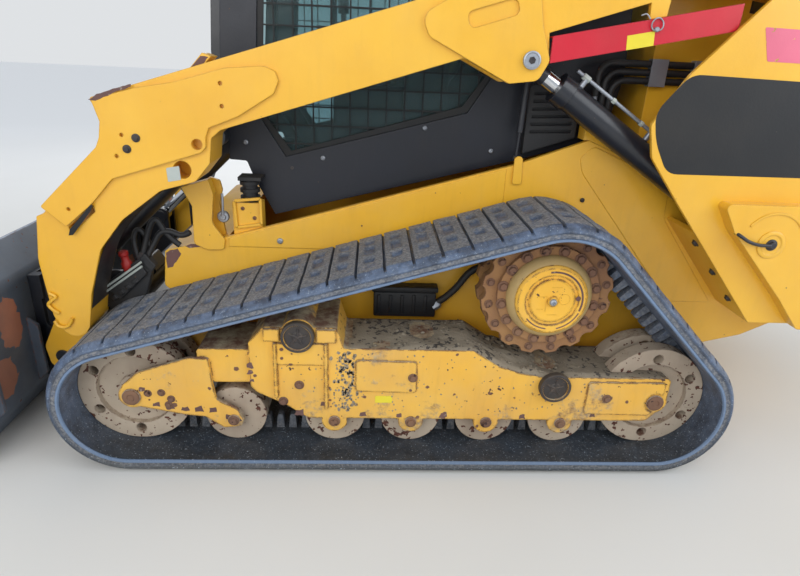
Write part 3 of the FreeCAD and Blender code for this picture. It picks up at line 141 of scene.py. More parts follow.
bm = bmesh.new()
bmesh.ops.create_grid(bm, x_segments=2, y_segments=2, size=FLOOR_HALF)
floor_mesh = bpy.data.meshes.new("floor")
bm.to_mesh(floor_mesh)
bm.free()
floor = link_new("floor", floor_mesh)
scene.view_settings.view_transform = "Standard"

# %% [markdown]
# Shared effects are node groups that put out masks. Each material then mixes its own colours with them:
# worn edges, mud that thins out with height, fine grime and small chips.
# %%
# Node groups for wear and dirt
def new_group(name, inputs, outputs):
    group = bpy.data.node_groups.new(name, "ShaderNodeTree")
    for label, value in inputs:
        socket = group.interface.new_socket(label, in_out="INPUT", socket_type="NodeSocketFloat")
        socket.default_value = value
    for label in outputs:
        kind = "NodeSocketVector" if label == "Normal" else "NodeSocketFloat"
        group.interface.new_socket(label, in_out="OUTPUT", socket_type=kind)
    return group, group.nodes.new("NodeGroupInput"), group.nodes.new("NodeGroupOutput")


class Build:
    """Short ways to add nodes to a node tree."""

    def __init__(self, tree):
        self.tree = tree

    def put(self, kind, **values):
        node = self.tree.nodes.new(kind)
        for key, value in values.items():
            setattr(node, key, value)
        return node

    def join(self, a, b):
        self.tree.links.new(a, b)

    def value(self, socket, v):
        if hasattr(v, "is_output"):
            self.join(v, socket)
        else:
            socket.default_value = v

    def math(self, op, a, b=0.0, clamp=False):
        node = self.put("ShaderNodeMath", operation=op, use_clamp=clamp)
        self.value(node.inputs[0], a)
        self.value(node.inputs[1], b)
        return node.outputs[0]

    def times(self, a, b, clamp=False):
        return self.math("MULTIPLY", a, b, clamp)

    def plus(self, a, b, clamp=False):
        return self.math("ADD", a, b, clamp)

    def minus(self, a, b):
        return self.math("SUBTRACT", a, b)

    def most(self, a, b):
        return self.math("MAXIMUM", a, b)

    def span(self, v, low, high, a=0.0, b=1.0):
        """Turns low to high into a to b."""
        node = self.put("ShaderNodeMapRange")
        self.value(node.inputs["Value"], v)
        self.value(node.inputs["From Min"], low)
        self.value(node.inputs["From Max"], high)
        node.inputs["To Min"].default_value = a
        node.inputs["To Max"].default_value = b
        return node.outputs["Result"]

    def noise(self, where, scale, detail=4.0, rough=0.55):
        node = self.put("ShaderNodeTexNoise")
        self.join(where, node.inputs["Vector"])
        self.value(node.inputs["Scale"], scale)
        node.inputs["Detail"].default_value = detail
        node.inputs["Roughness"].default_value = rough
        return node.outputs[0]

    def place(self, stretch=(1, 1, 1)):
        coords = self.put("ShaderNodeTexCoord").outputs["Object"]
        if stretch == (1, 1, 1):
            return coords
        mapping = self.put("ShaderNodeMapping")
        mapping.inputs["Scale"].default_value = stretch
        self.join(coords, mapping.inputs["Vector"])
        return mapping.outputs[0]

    def mix(self, share, a, b):
        node = self.put("ShaderNodeMix", data_type="RGBA")
        self.value(node.inputs[0], share)
        self.value(node.inputs[6], a)
        self.value(node.inputs[7], b)
        return node.outputs[2]

    def split(self, vector):
        node = self.put("ShaderNodeSeparateXYZ")
        self.join(vector, node.inputs[0])
        return node.outputs

    def bump(self, shader, height, strength, distance, normal=None):
        node = self.put("ShaderNodeBump")
        node.inputs["Strength"].default_value = strength
        node.inputs["Distance"].default_value = distance
        self.join(height, node.inputs["Height"])
        if normal:
            self.join(normal, node.inputs["Normal"])
        self.join(node.outputs[0], shader.inputs["Normal"])


# Worn edges: where a bevelled normal leaves the flat one, broken up by noise
edge_group, gin, gout = new_group("worn_edges", [("Radius", 0.006), ("Break", 40.0), ("Amount", 1.0)],
        ["Mask", "Normal"])
b = Build(edge_group)
bevel = b.put("ShaderNodeBevel", samples=4)
b.join(gin.outputs["Radius"], bevel.inputs["Radius"])
geometry = b.put("ShaderNodeNewGeometry")
dot = b.put("ShaderNodeVectorMath", operation="DOT_PRODUCT")
b.join(bevel.outputs[0], dot.inputs[0])
b.join(geometry.outputs["Normal"], dot.inputs[1])
bend = b.span(dot.outputs["Value"], 1.0, 0.86)
rough = b.noise(b.place(), gin.outputs["Break"], 6.0, 0.65)
mask = b.times(bend, b.span(rough, 0.42, 0.60))
b.join(b.times(mask, gin.outputs["Amount"], clamp=True), gout.inputs["Mask"])
b.join(bevel.outputs[0], gout.inputs["Normal"])

# Mud: more of it low down and on faces that look up, in crusts and spots
mud_group, gin, gout = new_group("mud", [("Low", 0.1), ("High", 0.9), ("Amount", 1.0), ("Spots", 26.0)],
        ["Crust", "Spots", "Film"])
b = Build(mud_group)
where = b.place()
z = b.split(where)[2]
low_down = b.span(z, gin.outputs["High"], gin.outputs["Low"])
geometry = b.put("ShaderNodeNewGeometry")
facing = b.span(b.split(geometry.outputs["Normal"])[2], 0.15, 0.9)
broad = b.noise(where, 5.0, 5.0, 0.6)
fine = b.noise(where, 38.0, 6.0, 0.7)
lift = b.times(b.plus(b.times(low_down, 0.35), b.times(facing, 0.33)), gin.outputs["Amount"])
ground = b.plus(b.times(broad, 0.62), b.times(fine, 0.38))
b.join(b.span(b.plus(ground, lift), 0.80, 0.90), gout.inputs["Crust"])
cells = b.put("ShaderNodeTexVoronoi", feature="F1")
b.join(where, cells.inputs["Vector"])
b.join(gin.outputs["Spots"], cells.inputs["Scale"])
spot = b.plus(cells.outputs["Distance"], b.times(fine, 0.55))
chance = b.put("ShaderNodeSeparateColor")
b.join(cells.outputs["Color"], chance.inputs[0])
grown = b.plus(b.times(lift, 0.45), b.span(chance.outputs[0], 0.45, 1.0, 0.0, 0.40))
reach = b.times(grown, b.span(gin.outputs["Amount"], 0.0, 1.0, 0.80, 1.15))
b.join(b.span(b.minus(reach, spot), -0.02, 0.04), gout.inputs["Spots"])
b.join(b.times(b.span(b.plus(broad, lift), 0.45, 1.05), 0.75), gout.inputs["Film"])

# Chips: small sharp-edged patches, rare on open faces
chip_group, gin, gout = new_group("chips", [("Scale", 55.0), ("Amount", 0.5)], ["Mask"])
b = Build(chip_group)
where = b.place()
patch = b.noise(where, gin.outputs["Scale"], 3.0, 0.5)
area = b.noise(where, 6.0, 3.0, 0.5)
level = b.plus(patch, b.times(area, 0.35))
cut = b.minus(1.02, b.times(gin.outputs["Amount"], 0.16))
b.join(b.span(b.minus(level, cut), 0.0, 0.012), gout.inputs["Mask"])
print("groups", [g.name for g in bpy.data.node_groups])

# %% [markdown]
# One recipe covers the painted and bare metal: a base colour with a slight drift in tone, then grime, chips, worn
# edges and mud over it, each with its own roughness and height. Numbers that hold all over go straight on the shader.
# %%
# Materials
YELLOW = (233, 180, 50)
YELLOW_DEEP = (224, 168, 40)
RUST = (98, 62, 48)
M = {}


def fresh(name):
    """A new material, kept by its name, with its nodes and its shader."""
    M[name] = bpy.data.materials.new(name)
    M[name].use_nodes = True
    tree = M[name].node_tree
    return Build(tree), tree.nodes["Principled BSDF"]


def use(build, group, **inputs):
    node = build.put("ShaderNodeGroup", node_tree=group)
    for label, v in inputs.items():
        node.inputs[label].default_value = v
    return node.outputs


def coated(name, base, tone, rough, wears, heights, dirts, wear=(96, 58, 40), crust=(164, 146, 118),
        spots=(112, 84, 60), gloss=0.0, metal=0.0, radius=0.005, grain=0.02, size=26.0):
    """Paint or metal in two close tones, with colours from 0 to 255. After the roughness come how much the edges wear
    and chip, the heights between which the mud thins out, and how much mud and film there is."""
    edges, chips = wears
    low, high = heights
    mud, film = dirts
    b, shader = fresh(name)
    base, tone, wear, crust, spots = (rgb(*colour) for colour in (base, tone, wear, crust, spots))
    where = b.place()
    drift = b.span(b.noise(where, 3.2, 4.0, 0.6), 0.32, 0.68)
    colour = b.mix(drift, base, tone)
    dirt = use(b, mud_group, Low=low, High=high, Amount=mud, Spots=size)
    colour = b.mix(b.times(dirt["Film"], film), colour, crust)
    streak = b.span(b.noise(b.place((9, 9, 1.1)), 4.0, 5.0, 0.65), 0.52, 0.72)
    colour = b.mix(b.times(streak, 0.22 * film), colour, spots)
    chip = use(b, chip_group, Amount=chips)["Mask"]
    edge = use(b, edge_group, Radius=radius, Amount=edges)
    worn = b.most(chip, edge["Mask"])
    rusty = b.mix(b.span(b.noise(where, 90.0, 3.0, 0.6), 0.4, 0.6), wear, tuple(v * 0.55 for v in wear[:3]) + (1,))
    colour = b.mix(worn, colour, rusty)
    crusty = b.mix(b.span(b.noise(where, 21.0, 5.0, 0.7), 0.38, 0.62), crust, spots)
    colour = b.mix(dirt["Spots"], colour, spots)
    colour = b.mix(dirt["Crust"], colour, crusty)
    b.join(colour, shader.inputs["Base Color"])
    soiled = b.most(dirt["Crust"], dirt["Spots"])
    dull = b.most(soiled, b.times(dirt["Film"], 0.6))
    dull = b.most(dull, b.times(worn, 0.7))
    scuff = b.times(b.noise(where, 14.0, 6.0, 0.7), 0.18)
    b.join(b.plus(b.plus(rough - 0.09, scuff), b.times(dull, 0.9 - rough), clamp=True),
           shader.inputs["Roughness"])
    shader.inputs["Metallic"].default_value = metal
    shader.inputs["Coat Weight"].default_value = gloss
    shader.inputs["Coat Roughness"].default_value = 0.12
    height = b.plus(b.times(soiled, 0.9), b.times(b.noise(where, 120.0, 4.0, 0.6), grain * 10))
    height = b.minus(height, b.times(chip, 0.3))
    b.bump(shader, height, 0.55, 0.003, edge["Normal"])


coated("yellow_clean", YELLOW, YELLOW_DEEP, 0.34, (0.25, 0.1), (0.2, 1.0), (0.12, 0.18), gloss=0.35, size=34.0)
coated("yellow_lower", YELLOW, YELLOW_DEEP, 0.38, (0.4, 0.2), (0.2, 0.9), (0.3, 0.32), gloss=0.2, size=36.0)
coated("yellow_muddy", (238, 184, 58), (226, 168, 50), 0.45, (2.2, 0.75), (0.05, 0.75), (1.0, 0.48), wear=RUST,
        crust=(176, 162, 134), spots=(112, 80, 64), gloss=0.12, radius=0.009, size=34.0)
coated("black_paint", (27, 31, 40), (21, 24, 32), 0.34, (0.35, 0.1), (0.2, 1.2), (0.15, 0.10), wear=(96, 96, 98),
        crust=(120, 112, 98), gloss=0.2, size=40.0)
coated("cab_panel", (11, 18, 33), (8, 13, 25), 0.42, (0.25, 0.1), (0.5, 1.4), (0.08, 0.06), wear=(96, 100, 108),
        crust=(122, 116, 106), gloss=0.05, size=40.0)
coated("screen_black", (15, 17, 21), (11, 13, 16), 0.6, (0.2, 0.0), (0.2, 1.5), (0.1, 0.04), wear=(60, 60, 62),
        radius=0.002)
coated("red_paint", (202, 10, 42), (184, 8, 34), 0.36, (0.4, 0.2), (0.2, 1.2), (0.1, 0.12), wear=(120, 60, 58),
        gloss=0.3)
coated("muddy_iron", (182, 168, 150), (152, 136, 120), 0.82, (0.8, 1.4), (0.0, 0.5), (0.7, 0.4), wear=(96, 58, 46),
        crust=(182, 168, 146), spots=(104, 72, 58), size=44.0)
coated("rusty_steel", (168, 124, 72), (118, 82, 66), 0.8, (1.6, 0.9), (0.1, 0.9), (0.6, 0.5), wear=(104, 70, 60),
        crust=(156, 128, 96), spots=(92, 62, 54), grain=0.06, size=40.0)
coated("rusty_bolt", (128, 92, 68), (96, 68, 58), 0.8, (0.5, 1.2), (0.1, 0.9), (0.4, 0.3), wear=(66, 44, 40),
        radius=0.002, size=60.0)
coated("dark_steel", (86, 98, 114), (62, 72, 86), 0.42, (1.3, 0.8), (0.0, 0.6), (0.35, 0.22), wear=(118, 74, 54),
        metal=0.15, radius=0.008, size=34.0)
coated("bright_steel", (168, 174, 182), (140, 146, 156), 0.42, (0.4, 0.3), (0.0, 0.8), (0.12, 0.1),
        wear=(110, 84, 66), metal=0.65, radius=0.002)
coated("black_rubber", (30, 31, 34), (23, 24, 27), 0.55, (0.2, 0.0), (0.1, 0.9), (0.2, 0.18), wear=(70, 70, 72),
        radius=0.002)
coated("black_plastic", (30, 32, 36), (25, 27, 31), 0.5, (0.15, 0.0), (0.2, 1.5), (0.08, 0.08), wear=(80, 80, 82),
        grain=0.05)
coated("engine", (62, 62, 60), (48, 48, 48), 0.6, (0.5, 0.6), (0.0, 0.6), (0.3, 0.5))
coated("bare_black", (17, 19, 23), (13, 14, 17), 0.42, (0.5, 0.2), (0.2, 1.0), (0.05, 0.05), wear=(150, 120, 60),
        gloss=0.1, radius=0.002)
coated("bare_pink", (222, 106, 132), (206, 92, 120), 0.4, (0.7, 0.9), (0.2, 1.0), (0.1, 0.1), wear=(222, 178, 80),
        gloss=0.3, radius=0.002)
coated("bare_white", (180, 188, 182), (164, 172, 168), 0.42, (0.6, 0.5), (0.0, 1.0), (0.2, 0.2), wear=(120, 110, 96),
        gloss=0.2, radius=0.002)
coated("bare_yellow", (232, 214, 44), (214, 196, 38), 0.35, (0.6, 0.5), (0.2, 1.0), (0.1, 0.1), wear=(60, 58, 50),
        gloss=0.4, radius=0.002)
coated("red_cap", (176, 26, 24), (140, 20, 20), 0.45, (0.3, 0.3), (0.2, 0.9), (0.3, 0.2), wear=(60, 30, 28),
        radius=0.002)


def tread_rubber():
    """Track rubber: mud where the "mud" points say so, elsewhere damp blue-grey, with painted shade that makes it near
    black low down, and a pale painted highlight on the bead, which the "water_and_bead_highlight" points give 1.8."""
    b, shader = fresh("track_rubber")
    where = b.place()
    carried = b.put("ShaderNodeAttribute", attribute_name="mud").outputs["Fac"]
    pocket_and_bead_highlight = b.put("ShaderNodeAttribute", attribute_name="water_and_bead_highlight").outputs["Fac"]
    height = b.split(where)[2]
    # Painted shade: both tones go near black towards the ground and lighter blue-grey higher up
    painted_low_shade_ramp = b.span(height, 0.03, 0.30)
    deep = b.mix(painted_low_shade_ramp, rgb(22, 27, 31), rgb(52, 64, 84))
    light = b.mix(painted_low_shade_ramp, rgb(36, 43, 49), rgb(92, 110, 138))
    base = b.mix(b.span(b.noise(where, 16.0, 6.0, 0.72), 0.38, 0.62), deep, light)
    scuff = b.span(b.noise(b.place((1, 6, 1)), 60.0, 4.0, 0.75), 0.60, 0.72)
    base = b.mix(b.times(scuff, 0.5), base, rgb(128, 134, 140))
    drops = b.span(b.noise(where, 210.0, 2.0, 0.5), 0.66, 0.70)
    base = b.mix(b.times(drops, 0.7), base, rgb(168, 180, 192))
    # Painted highlight: a pale blue-grey along the bead
    base = b.mix(b.times(b.span(pocket_and_bead_highlight, 1.1, 1.8), 0.75), base, rgb(112, 134, 164))
    broad = b.noise(where, 6.5, 5.0, 0.65)
    fine = b.noise(where, 75.0, 5.0, 0.75)
    thick = b.plus(b.times(broad, 0.55), b.times(fine, 0.45))
    share = b.times(carried, b.span(thick, 0.34, 0.50), clamp=True)
    share = b.times(share, b.span(pocket_and_bead_highlight, 0.0, 1.0, 1.0, 0.15))
    # Less pale mud near the ground, so that the painted shade stays dark there
    share = b.times(share, b.span(height, 0.0, 0.20, 0.75, 1.0))
    soil = b.mix(b.span(broad, 0.36, 0.64), rgb(152, 150, 148), rgb(116, 120, 126))
    grit = b.span(b.noise(where, 130.0, 3.0, 0.6), 0.40, 0.60)
    soil = b.mix(grit, soil, rgb(92, 96, 104))
    colour = b.mix(share, base, soil)
    b.join(colour, shader.inputs["Base Color"])
    b.join(b.plus(b.span(b.noise(where, 9.0, 4.0, 0.6), 0.3, 0.7, 0.26, 0.46), b.times(share, 0.42), clamp=True),
           shader.inputs["Roughness"])
    b.bump(shader, b.times(fine, b.plus(0.3, b.times(carried, 1.1))), 0.8, 0.003)


tread_rubber()


def glass(name, tint, smeared, clear):
    """Clear sheet that is rougher where it is smeared."""
    b, shader = fresh(name)
    smear = b.span(b.noise(b.place(), 6.0, 6.0, 0.7), 0.45, 0.75)
    shader.inputs["Base Color"].default_value = tint
    shader.inputs["Transmission Weight"].default_value = clear
    shader.inputs["IOR"].default_value = 1.12
    b.join(b.times(smear, smeared), shader.inputs["Roughness"])


glass("clear_glass", rgb(168, 196, 200), 0.10, 0.90)
glass("lamp_lens", rgb(235, 240, 242), 0.2, 1.0)


def chrome():
    """Polished rod with fine rings."""
    b, shader = fresh("chrome_rod")
    shader.inputs["Base Color"].default_value = rgb(205, 207, 210)
    shader.inputs["Metallic"].default_value = 1.0
    ring = b.noise(b.place((1, 1, 30)), 20.0, 3.0, 0.6)
    b.join(b.plus(0.07, b.times(b.span(ring, 0.4, 0.8), 0.2)), shader.inputs["Roughness"])


chrome()


def cloth():
    """Woven seat cover, paler where it is worn."""
    b, shader = fresh("seat_cover")
    where = b.place()
    weave = b.put("ShaderNodeTexWave", wave_type="BANDS", bands_direction="X")
    weave.inputs["Scale"].default_value = 160
    across = b.put("ShaderNodeTexWave", wave_type="BANDS", bands_direction="Z")
    across.inputs["Scale"].default_value = 160
    b.join(where, weave.inputs["Vector"])
    b.join(where, across.inputs["Vector"])
    knit = b.times(weave.outputs[1], across.outputs[1])
    worn = b.span(b.noise(where, 8.0, 4.0, 0.6), 0.3, 0.7)
    b.join(b.mix(worn, rgb(44, 44, 47), rgb(62, 61, 62)), shader.inputs["Base Color"])
    shader.inputs["Roughness"].default_value = 0.9
    shader.inputs["Sheen Weight"].default_value = 0.35
    b.bump(shader, knit, 0.5, 0.001)


cloth()
b, shader = fresh("pale_floor")
patchy = b.span(b.noise(b.place(), 0.8, 3.0, 0.5), 0.3, 0.7)
near = b.mix(patchy, rgb(214, 214, 211), rgb(220, 220, 218))
apart = b.put("ShaderNodeVectorMath", operation="LENGTH")
b.join(b.place(), apart.inputs[0])
b.join(b.mix(b.span(apart.outputs["Value"], 3.0, 9.0), near, rgb(252, 253, 254)), shader.inputs["Base Color"])
shader.inputs["Roughness"].default_value = 0.85
floor_mesh.materials.append(M["pale_floor"])
print("materials", len(M))


def smooth(mesh, angle=None):
    """Smooth shading, with edges left sharp where faces meet at more than the angle."""
    mesh.polygons.foreach_set("use_smooth", [True] * len(mesh.polygons))
    if angle:
        mesh.set_sharp_from_angle(angle=angle)


LOOKS = {
    "track_rubber": "track_left track_right",
    "yellow_muddy": "track_frames final_drives torsion_axles",
    "muddy_iron": "idlers rollers wheel_shafts",
    "rusty_steel": "sprockets",
    "yellow_clean": "tower_plates tower_inner_plates tower_rims tower_covers lift_arms arm_cross_tubes rear_links "
                    "front_links engine_bay valve_block",
    "yellow_lower": "chassis_frame front_brackets",
    "bright_steel": "tower_pins arm_pins steel_lines lift_lines",
    "screen_black": "cab_side_screens",
    "black_paint": "rear_bumper cab_door coupler exhaust_pipe rear_door hood lift_barrels tilt_barrels cab_struts "
                   "arm_line_block",
    "cab_panel": "cab_frame",
    "engine": "engine_block radiator",
    "black_plastic": "cab_roof consoles louvre_panels seat_base",
    "red_paint": "arm_stand",
    "black_rubber": "cab_mounts rubber_hoses",
    "seat_cover": "seat",
    "lamp_lens": "lamps",
    "clear_glass": "cab_side_glass cab_rear_glass cab_door_glass",
    "chrome_rod": "lift_rods tilt_rods",
    "dark_steel": "bucket cutting_edge",
}
LOOK = {node: look_name for look_name, names in LOOKS.items() for node in names.split()}
for node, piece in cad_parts.items():
    piece.data.materials.clear()
    piece.data.materials.append(M[LOOK[node]])
    smooth(piece.data, 0.42)
# The front cross tube gets black paint, painted shade for the dark behind the arch, and the rear one has the arm's
# yellow
FRONT_TUBE = 0.85
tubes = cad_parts["arm_cross_tubes"]
tubes.data.materials.append(M["black_paint"])
for face in tubes.data.polygons:
    if (tubes.matrix_world @ face.center).x > FRONT_TUBE:
        face.material_index = 1
print("dressed", len(LOOK))

# %% [markdown]
# Small pieces are made with a few tools: turned shapes, bolts, flat plates with a chamfer, blocks and bent tubes.
# Each finished mesh gets one material and rides one body of the frame.
# %%
# Piece makers
TURN = 2 * math.pi
OUT = (0, 1, 0)
SIDES = (("left", 1), ("right", -1))


def mm(text):
    """Points written in millimetres, given back in metres."""
    return [tuple(float(number + "e-3") for number in point.split()) for point in text.split(",")]


def sided(points, sign):
    """Points of the left side, or their twins on the right."""
    return [(x, sign * y, z) for x, y, z in points]


def piece(bm, name, look_name, body="chassis", sharp=0.6):
    """Ends a mesh: smooth but for its sharp edges, one material, and riding one body."""
    bmesh.ops.recalc_face_normals(bm, faces=bm.faces)
    for face in bm.faces:
        face.smooth = True
    for edge in bm.edges:
        edge.smooth = len(edge.link_faces) == 2 and edge.calc_face_angle(0) < sharp
    mesh = bpy.data.meshes.new(name)
    bm.to_mesh(mesh)
    bm.free()
    mesh.materials.append(M[look_name])
    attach(link_new(name, mesh), body)


def circle(centre, x, y, radius, sides, spin=0.0):
    """Points of a circle in the plane of x and y."""
    turns = [spin + TURN * i / sides for i in range(sides)]
    return [Vector(centre) + (x * math.cos(t) + y * math.sin(t)) * radius for t in turns]


def bridge(bm, a, b):
    """Faces between two rings, where a ring of one point closes a tip."""
    for i in range(max(len(a), len(b))):
        j = (i + 1) % max(len(a), len(b))
        if len(a) == 1:
            bm.faces.new((a[0], b[i], b[j]))
        elif len(b) == 1:
            bm.faces.new((a[i], a[j], b[0]))
        else:
            bm.faces.new((a[i], a[j], b[j], b[i]))


def turned(bm, foot, axis, profile, sides=20, spin=0.0):
    """A turned shape on its foot. The profile lists (radius, height) from the foot up; radius 0 closes it."""
    z = Vector(axis).normalized()
    x = z.orthogonal().normalized()
    rings = []
    for radius, height in profile:
        centre = Vector(foot) + z * height
        points = [centre] if radius == 0 else circle(centre, x, z.cross(x), radius, sides, spin)
        rings.append([bm.verts.new(p) for p in points])
    for a, b in zip(rings, rings[1:]):
        bridge(bm, a, b)


def bolt(bm, place, axis=OUT, r=0.011, spin=0.3):
    """A hexagon head on a washer."""
    turned(bm, place, axis, [(r * 1.45, -0.001), (r * 1.45, r * 0.16), (r * 1.3, r * 0.24), (0, r * 0.24)], 18)
    turned(bm, place, axis, [(r, 0), (r, r * 0.75), (r * 0.86, r * 0.9), (0, r * 0.9)], 6, spin)


def dome_bolt(bm, place, axis=OUT, r=0.011):
    """A low round head with a socket in its middle."""
    turned(bm, place, axis, [(r, -0.001), (r, r * 0.15), (r * 0.9, r * 0.42), (r * 0.66, r * 0.62),
            (r * 0.40, r * 0.70), (r * 0.36, r * 0.3), (0, r * 0.3)], 18)


def slab(bm, points, y0, y1, chamfer=0.0015):
    """A flat plate with the outline (x, z), its foot at y0 and a chamfered face at y1."""
    area = sum(points[i - 1][0] * points[i][1] - points[i][0] * points[i - 1][1] for i in range(len(points)))
    sign = 1 if area > 0 else -1
    inner = []
    for i in range(len(points)):
        here = Vector(points[i])
        before = (here - Vector(points[i - 1])).normalized()
        after = (Vector(points[(i + 1) % len(points)]) - here).normalized()
        side = (Vector((-before.y, before.x)) + Vector((-after.y, after.x)))
        grow = chamfer * 2 / max(side.length_squared, 0.6)
        inner.append(here + side * grow * sign)
    step = chamfer if y1 > y0 else -chamfer
    foot = [bm.verts.new((p[0], y0, p[1])) for p in points]
    rim = [bm.verts.new((p[0], y1 - step, p[1])) for p in points]
    face = [bm.verts.new((p.x, y1, p.y)) for p in inner]
    bridge(bm, foot, rim)
    bridge(bm, rim, face)
    bm.faces.new(face)


def rounded(points, radius, steps=4):
    """The outline with every corner rounded."""
    out = []
    count = len(points)
    for i in range(count):
        here = Vector(points[i])
        a = (Vector(points[i - 1]) - here)
        c = (Vector(points[(i + 1) % count]) - here)
        reach = min(radius, a.length * 0.45, c.length * 0.45)
        start = here + a.normalized() * reach
        end = here + c.normalized() * reach
        for k in range(steps + 1):
            t = k / steps
            out.append(tuple(start * (1 - t) ** 2 + here * 2 * t * (1 - t) + end * t ** 2))
    return out


def block(bm, low, high, chamfer=0.003):
    """A box with broken edges."""
    made = bmesh.ops.create_cube(bm, size=1)["verts"]
    for v in made:
        v.co = Vector([low[k] + (v.co[k] + 0.5) * (high[k] - low[k]) for k in range(3)])
    edges = list(dict.fromkeys(e for v in made for e in v.link_edges))
    bmesh.ops.bevel(bm, geom=edges, offset=chamfer, segments=2, affect="EDGES", profile=0.5)


def flow(points, steps=7):
    """A smooth line through the points."""
    pts = [Vector(p) for p in points]
    ends = [pts[0] * 2 - pts[1]] + pts + [pts[-1] * 2 - pts[-2]]
    out = []
    for i in range(1, len(ends) - 2):
        p0, p1, p2, p3 = ends[i - 1:i + 3]
        for k in range(steps):
            t = k / steps
            out.append(0.5 * (2 * p1 + (p2 - p0) * t + (2 * p0 - 5 * p1 + 4 * p2 - p3) * t ** 2
                    + (3 * p1 - p0 - 3 * p2 + p3) * t ** 3))
    out.append(pts[-1])
    return out


def bar(bm, points, radius, sides=10, smooth=True):
    """A round bar bent along the points, with closed ends."""
    line = flow(points) if smooth else [Vector(p) for p in points]
    side = (line[1] - line[0]).orthogonal().normalized()
    rings = []
    for i in range(len(line)):
        along = (line[min(i + 1, len(line) - 1)] - line[max(i - 1, 0)]).normalized()
        side = (side - along * side.dot(along)).normalized()
        up = along.cross(side)
        rings.append([bm.verts.new(p) for p in circle(line[i], side, up, radius, sides)])
    bridge(bm, [bm.verts.new(line[0])], rings[0])
    for a, b in zip(rings, rings[1:]):
        bridge(bm, a, b)
    bridge(bm, rings[-1], [bm.verts.new(line[-1])])


APART = Vector((50.5, 0, 0))


def ragged(bm, points, y0, y1, seed, rough=0.004, steps=5):
    """A thin patch whose outline is torn by noise."""
    line = []
    for i in range(len(points)):
        a, c = Vector(points[i]), Vector(points[(i + 1) % len(points)])
        for k in range(steps):
            p = a + (c - a) * k / steps
            q = Vector((p.x * 60 + seed, p.y * 60, seed))
            line.append((p.x + noise.noise(q) * rough, p.y + noise.noise(q + APART) * rough))
    slab(bm, line, y0, y1, 0.0002)


def patch(name, look_name, body, outline, y, thick=0.0006, chamfer=0.0002, sign=1):
    """A thin flat patch as a piece of its own."""
    bm = bmesh.new()
    slab(bm, outline, sign * y, sign * (y + thick), chamfer)
    piece(bm, name, look_name, body)


print("makers ready")

# %% [markdown]
# The tracks get their tread: wide bars parted by narrow slots, three pockets of water in each bar, a stepped shoulder
# along both edges, a bead and two guide lugs to each bar. Two point masks tell the material where mud and water lie
# and where the bead gets its pale painted highlight.
# %%
# Track tread
BELT = 0.028
LUG = 0.022
TRACK_OUT = 0.965
TRACK_IN = 0.565
WHEELS = mm("865 235 185, -460 600 215, -865 235 185")
BARS = 57
SLOT = 0.05
SLOT_FLOOR = 0.004
POCKET_DEEP = 0.007
POCKET_SPAN = (0.26, 0.66)
# Mask value of the bead, where the rubber gets a pale painted highlight
BEAD_HIGHLIGHT = 1.8


def loop_pieces():
    """The loop's arcs and runs: length, and what the point on it is worked out from."""
    leans = []
    for i in range(3):
        x0, z0, r0 = WHEELS[i]
        x1, z1, r1 = WHEELS[(i + 1) % 3]
        leans.append(math.atan2(z1 - z0, x1 - x0) - math.acos((r0 - r1) / math.hypot(x1 - x0, z1 - z0)))
    parts = []
    for i in range(3):
        x0, z0, r0 = WHEELS[i]
        x1, z1, r1 = WHEELS[(i + 1) % 3]
        start = leans[i - 1]
        sweep = (leans[i] - start) % TURN
        parts.append((sweep * (r0 + BELT / 2), x0, z0, r0, x0, z0, r0, start, start + sweep))
        run = math.sqrt((x1 - x0) ** 2 + (z1 - z0) ** 2 - (r0 - r1) ** 2)
        parts.append((run, x0, z0, r0, x1, z1, r1, leans[i], leans[i]))
    return parts


PATH = loop_pieces()
LOOP = sum(part[0] for part in PATH)


def on_loop(distance):
    """The point on the belt's inner face at a distance along the loop, and the way out from it."""
    distance = distance % LOOP
    for length, x0, z0, r0, x1, z1, r1, a0, a1 in PATH:
        if distance > length:
            distance -= length
            continue
        t = distance / length
        angle = a0 + (a1 - a0) * t
        out = Vector((math.cos(angle), 0, math.sin(angle)))
        return Vector((x0 + (x1 - x0) * t, 0, z0 + (z1 - z0) * t)) + out * (r0 + (r1 - r0) * t), out
    return None


# Stations along one bar as shares of its length, and the edge's section as (inset from the edge, height)
STATIONS = (0.0, 0.042, 0.055, 0.10, 0.17, 0.24, 0.31, 0.38, 0.45, 0.472, 0.5, 0.528, 0.55, 0.62, 0.70, 0.78, 0.86,
        0.945, 0.958)
EDGE = mm("12 0, 4 1, 0 4, 0 10, 6 13, 6 24, 1 28, 0 32, 4 37, 12 42, 20 46, 28 49")
MIDDLES = 26
POCKETS = mm("838 20, 745 34, 660 20")


def tread_height(share, y, x, z):
    """Height of the tread over the belt's inner face, with its mud and wet masks."""
    top = BELT + LUG
    slot = min(share, 1 - share)
    depth = 0.0
    if slot < SLOT:
        depth = LUG - SLOT_FLOOR
    water_and_bead_highlight = 0.0
    for middle, reach in POCKETS:
        if POCKET_SPAN[0] < share < POCKET_SPAN[1] and abs(y - middle) < reach:
            depth = max(depth, POCKET_DEEP)
            water_and_bead_highlight = 1.0
    cake = noise.noise(Vector((x * 14, y * 14, z * 14))) * 0.0022 + noise.noise(Vector((x * 60, y * 60,
            z * 60))) * 0.0012
    mud = 0.25 if depth > 0.01 else 1.0
    return top - depth + min(cake, 0.0015), mud, water_and_bead_highlight


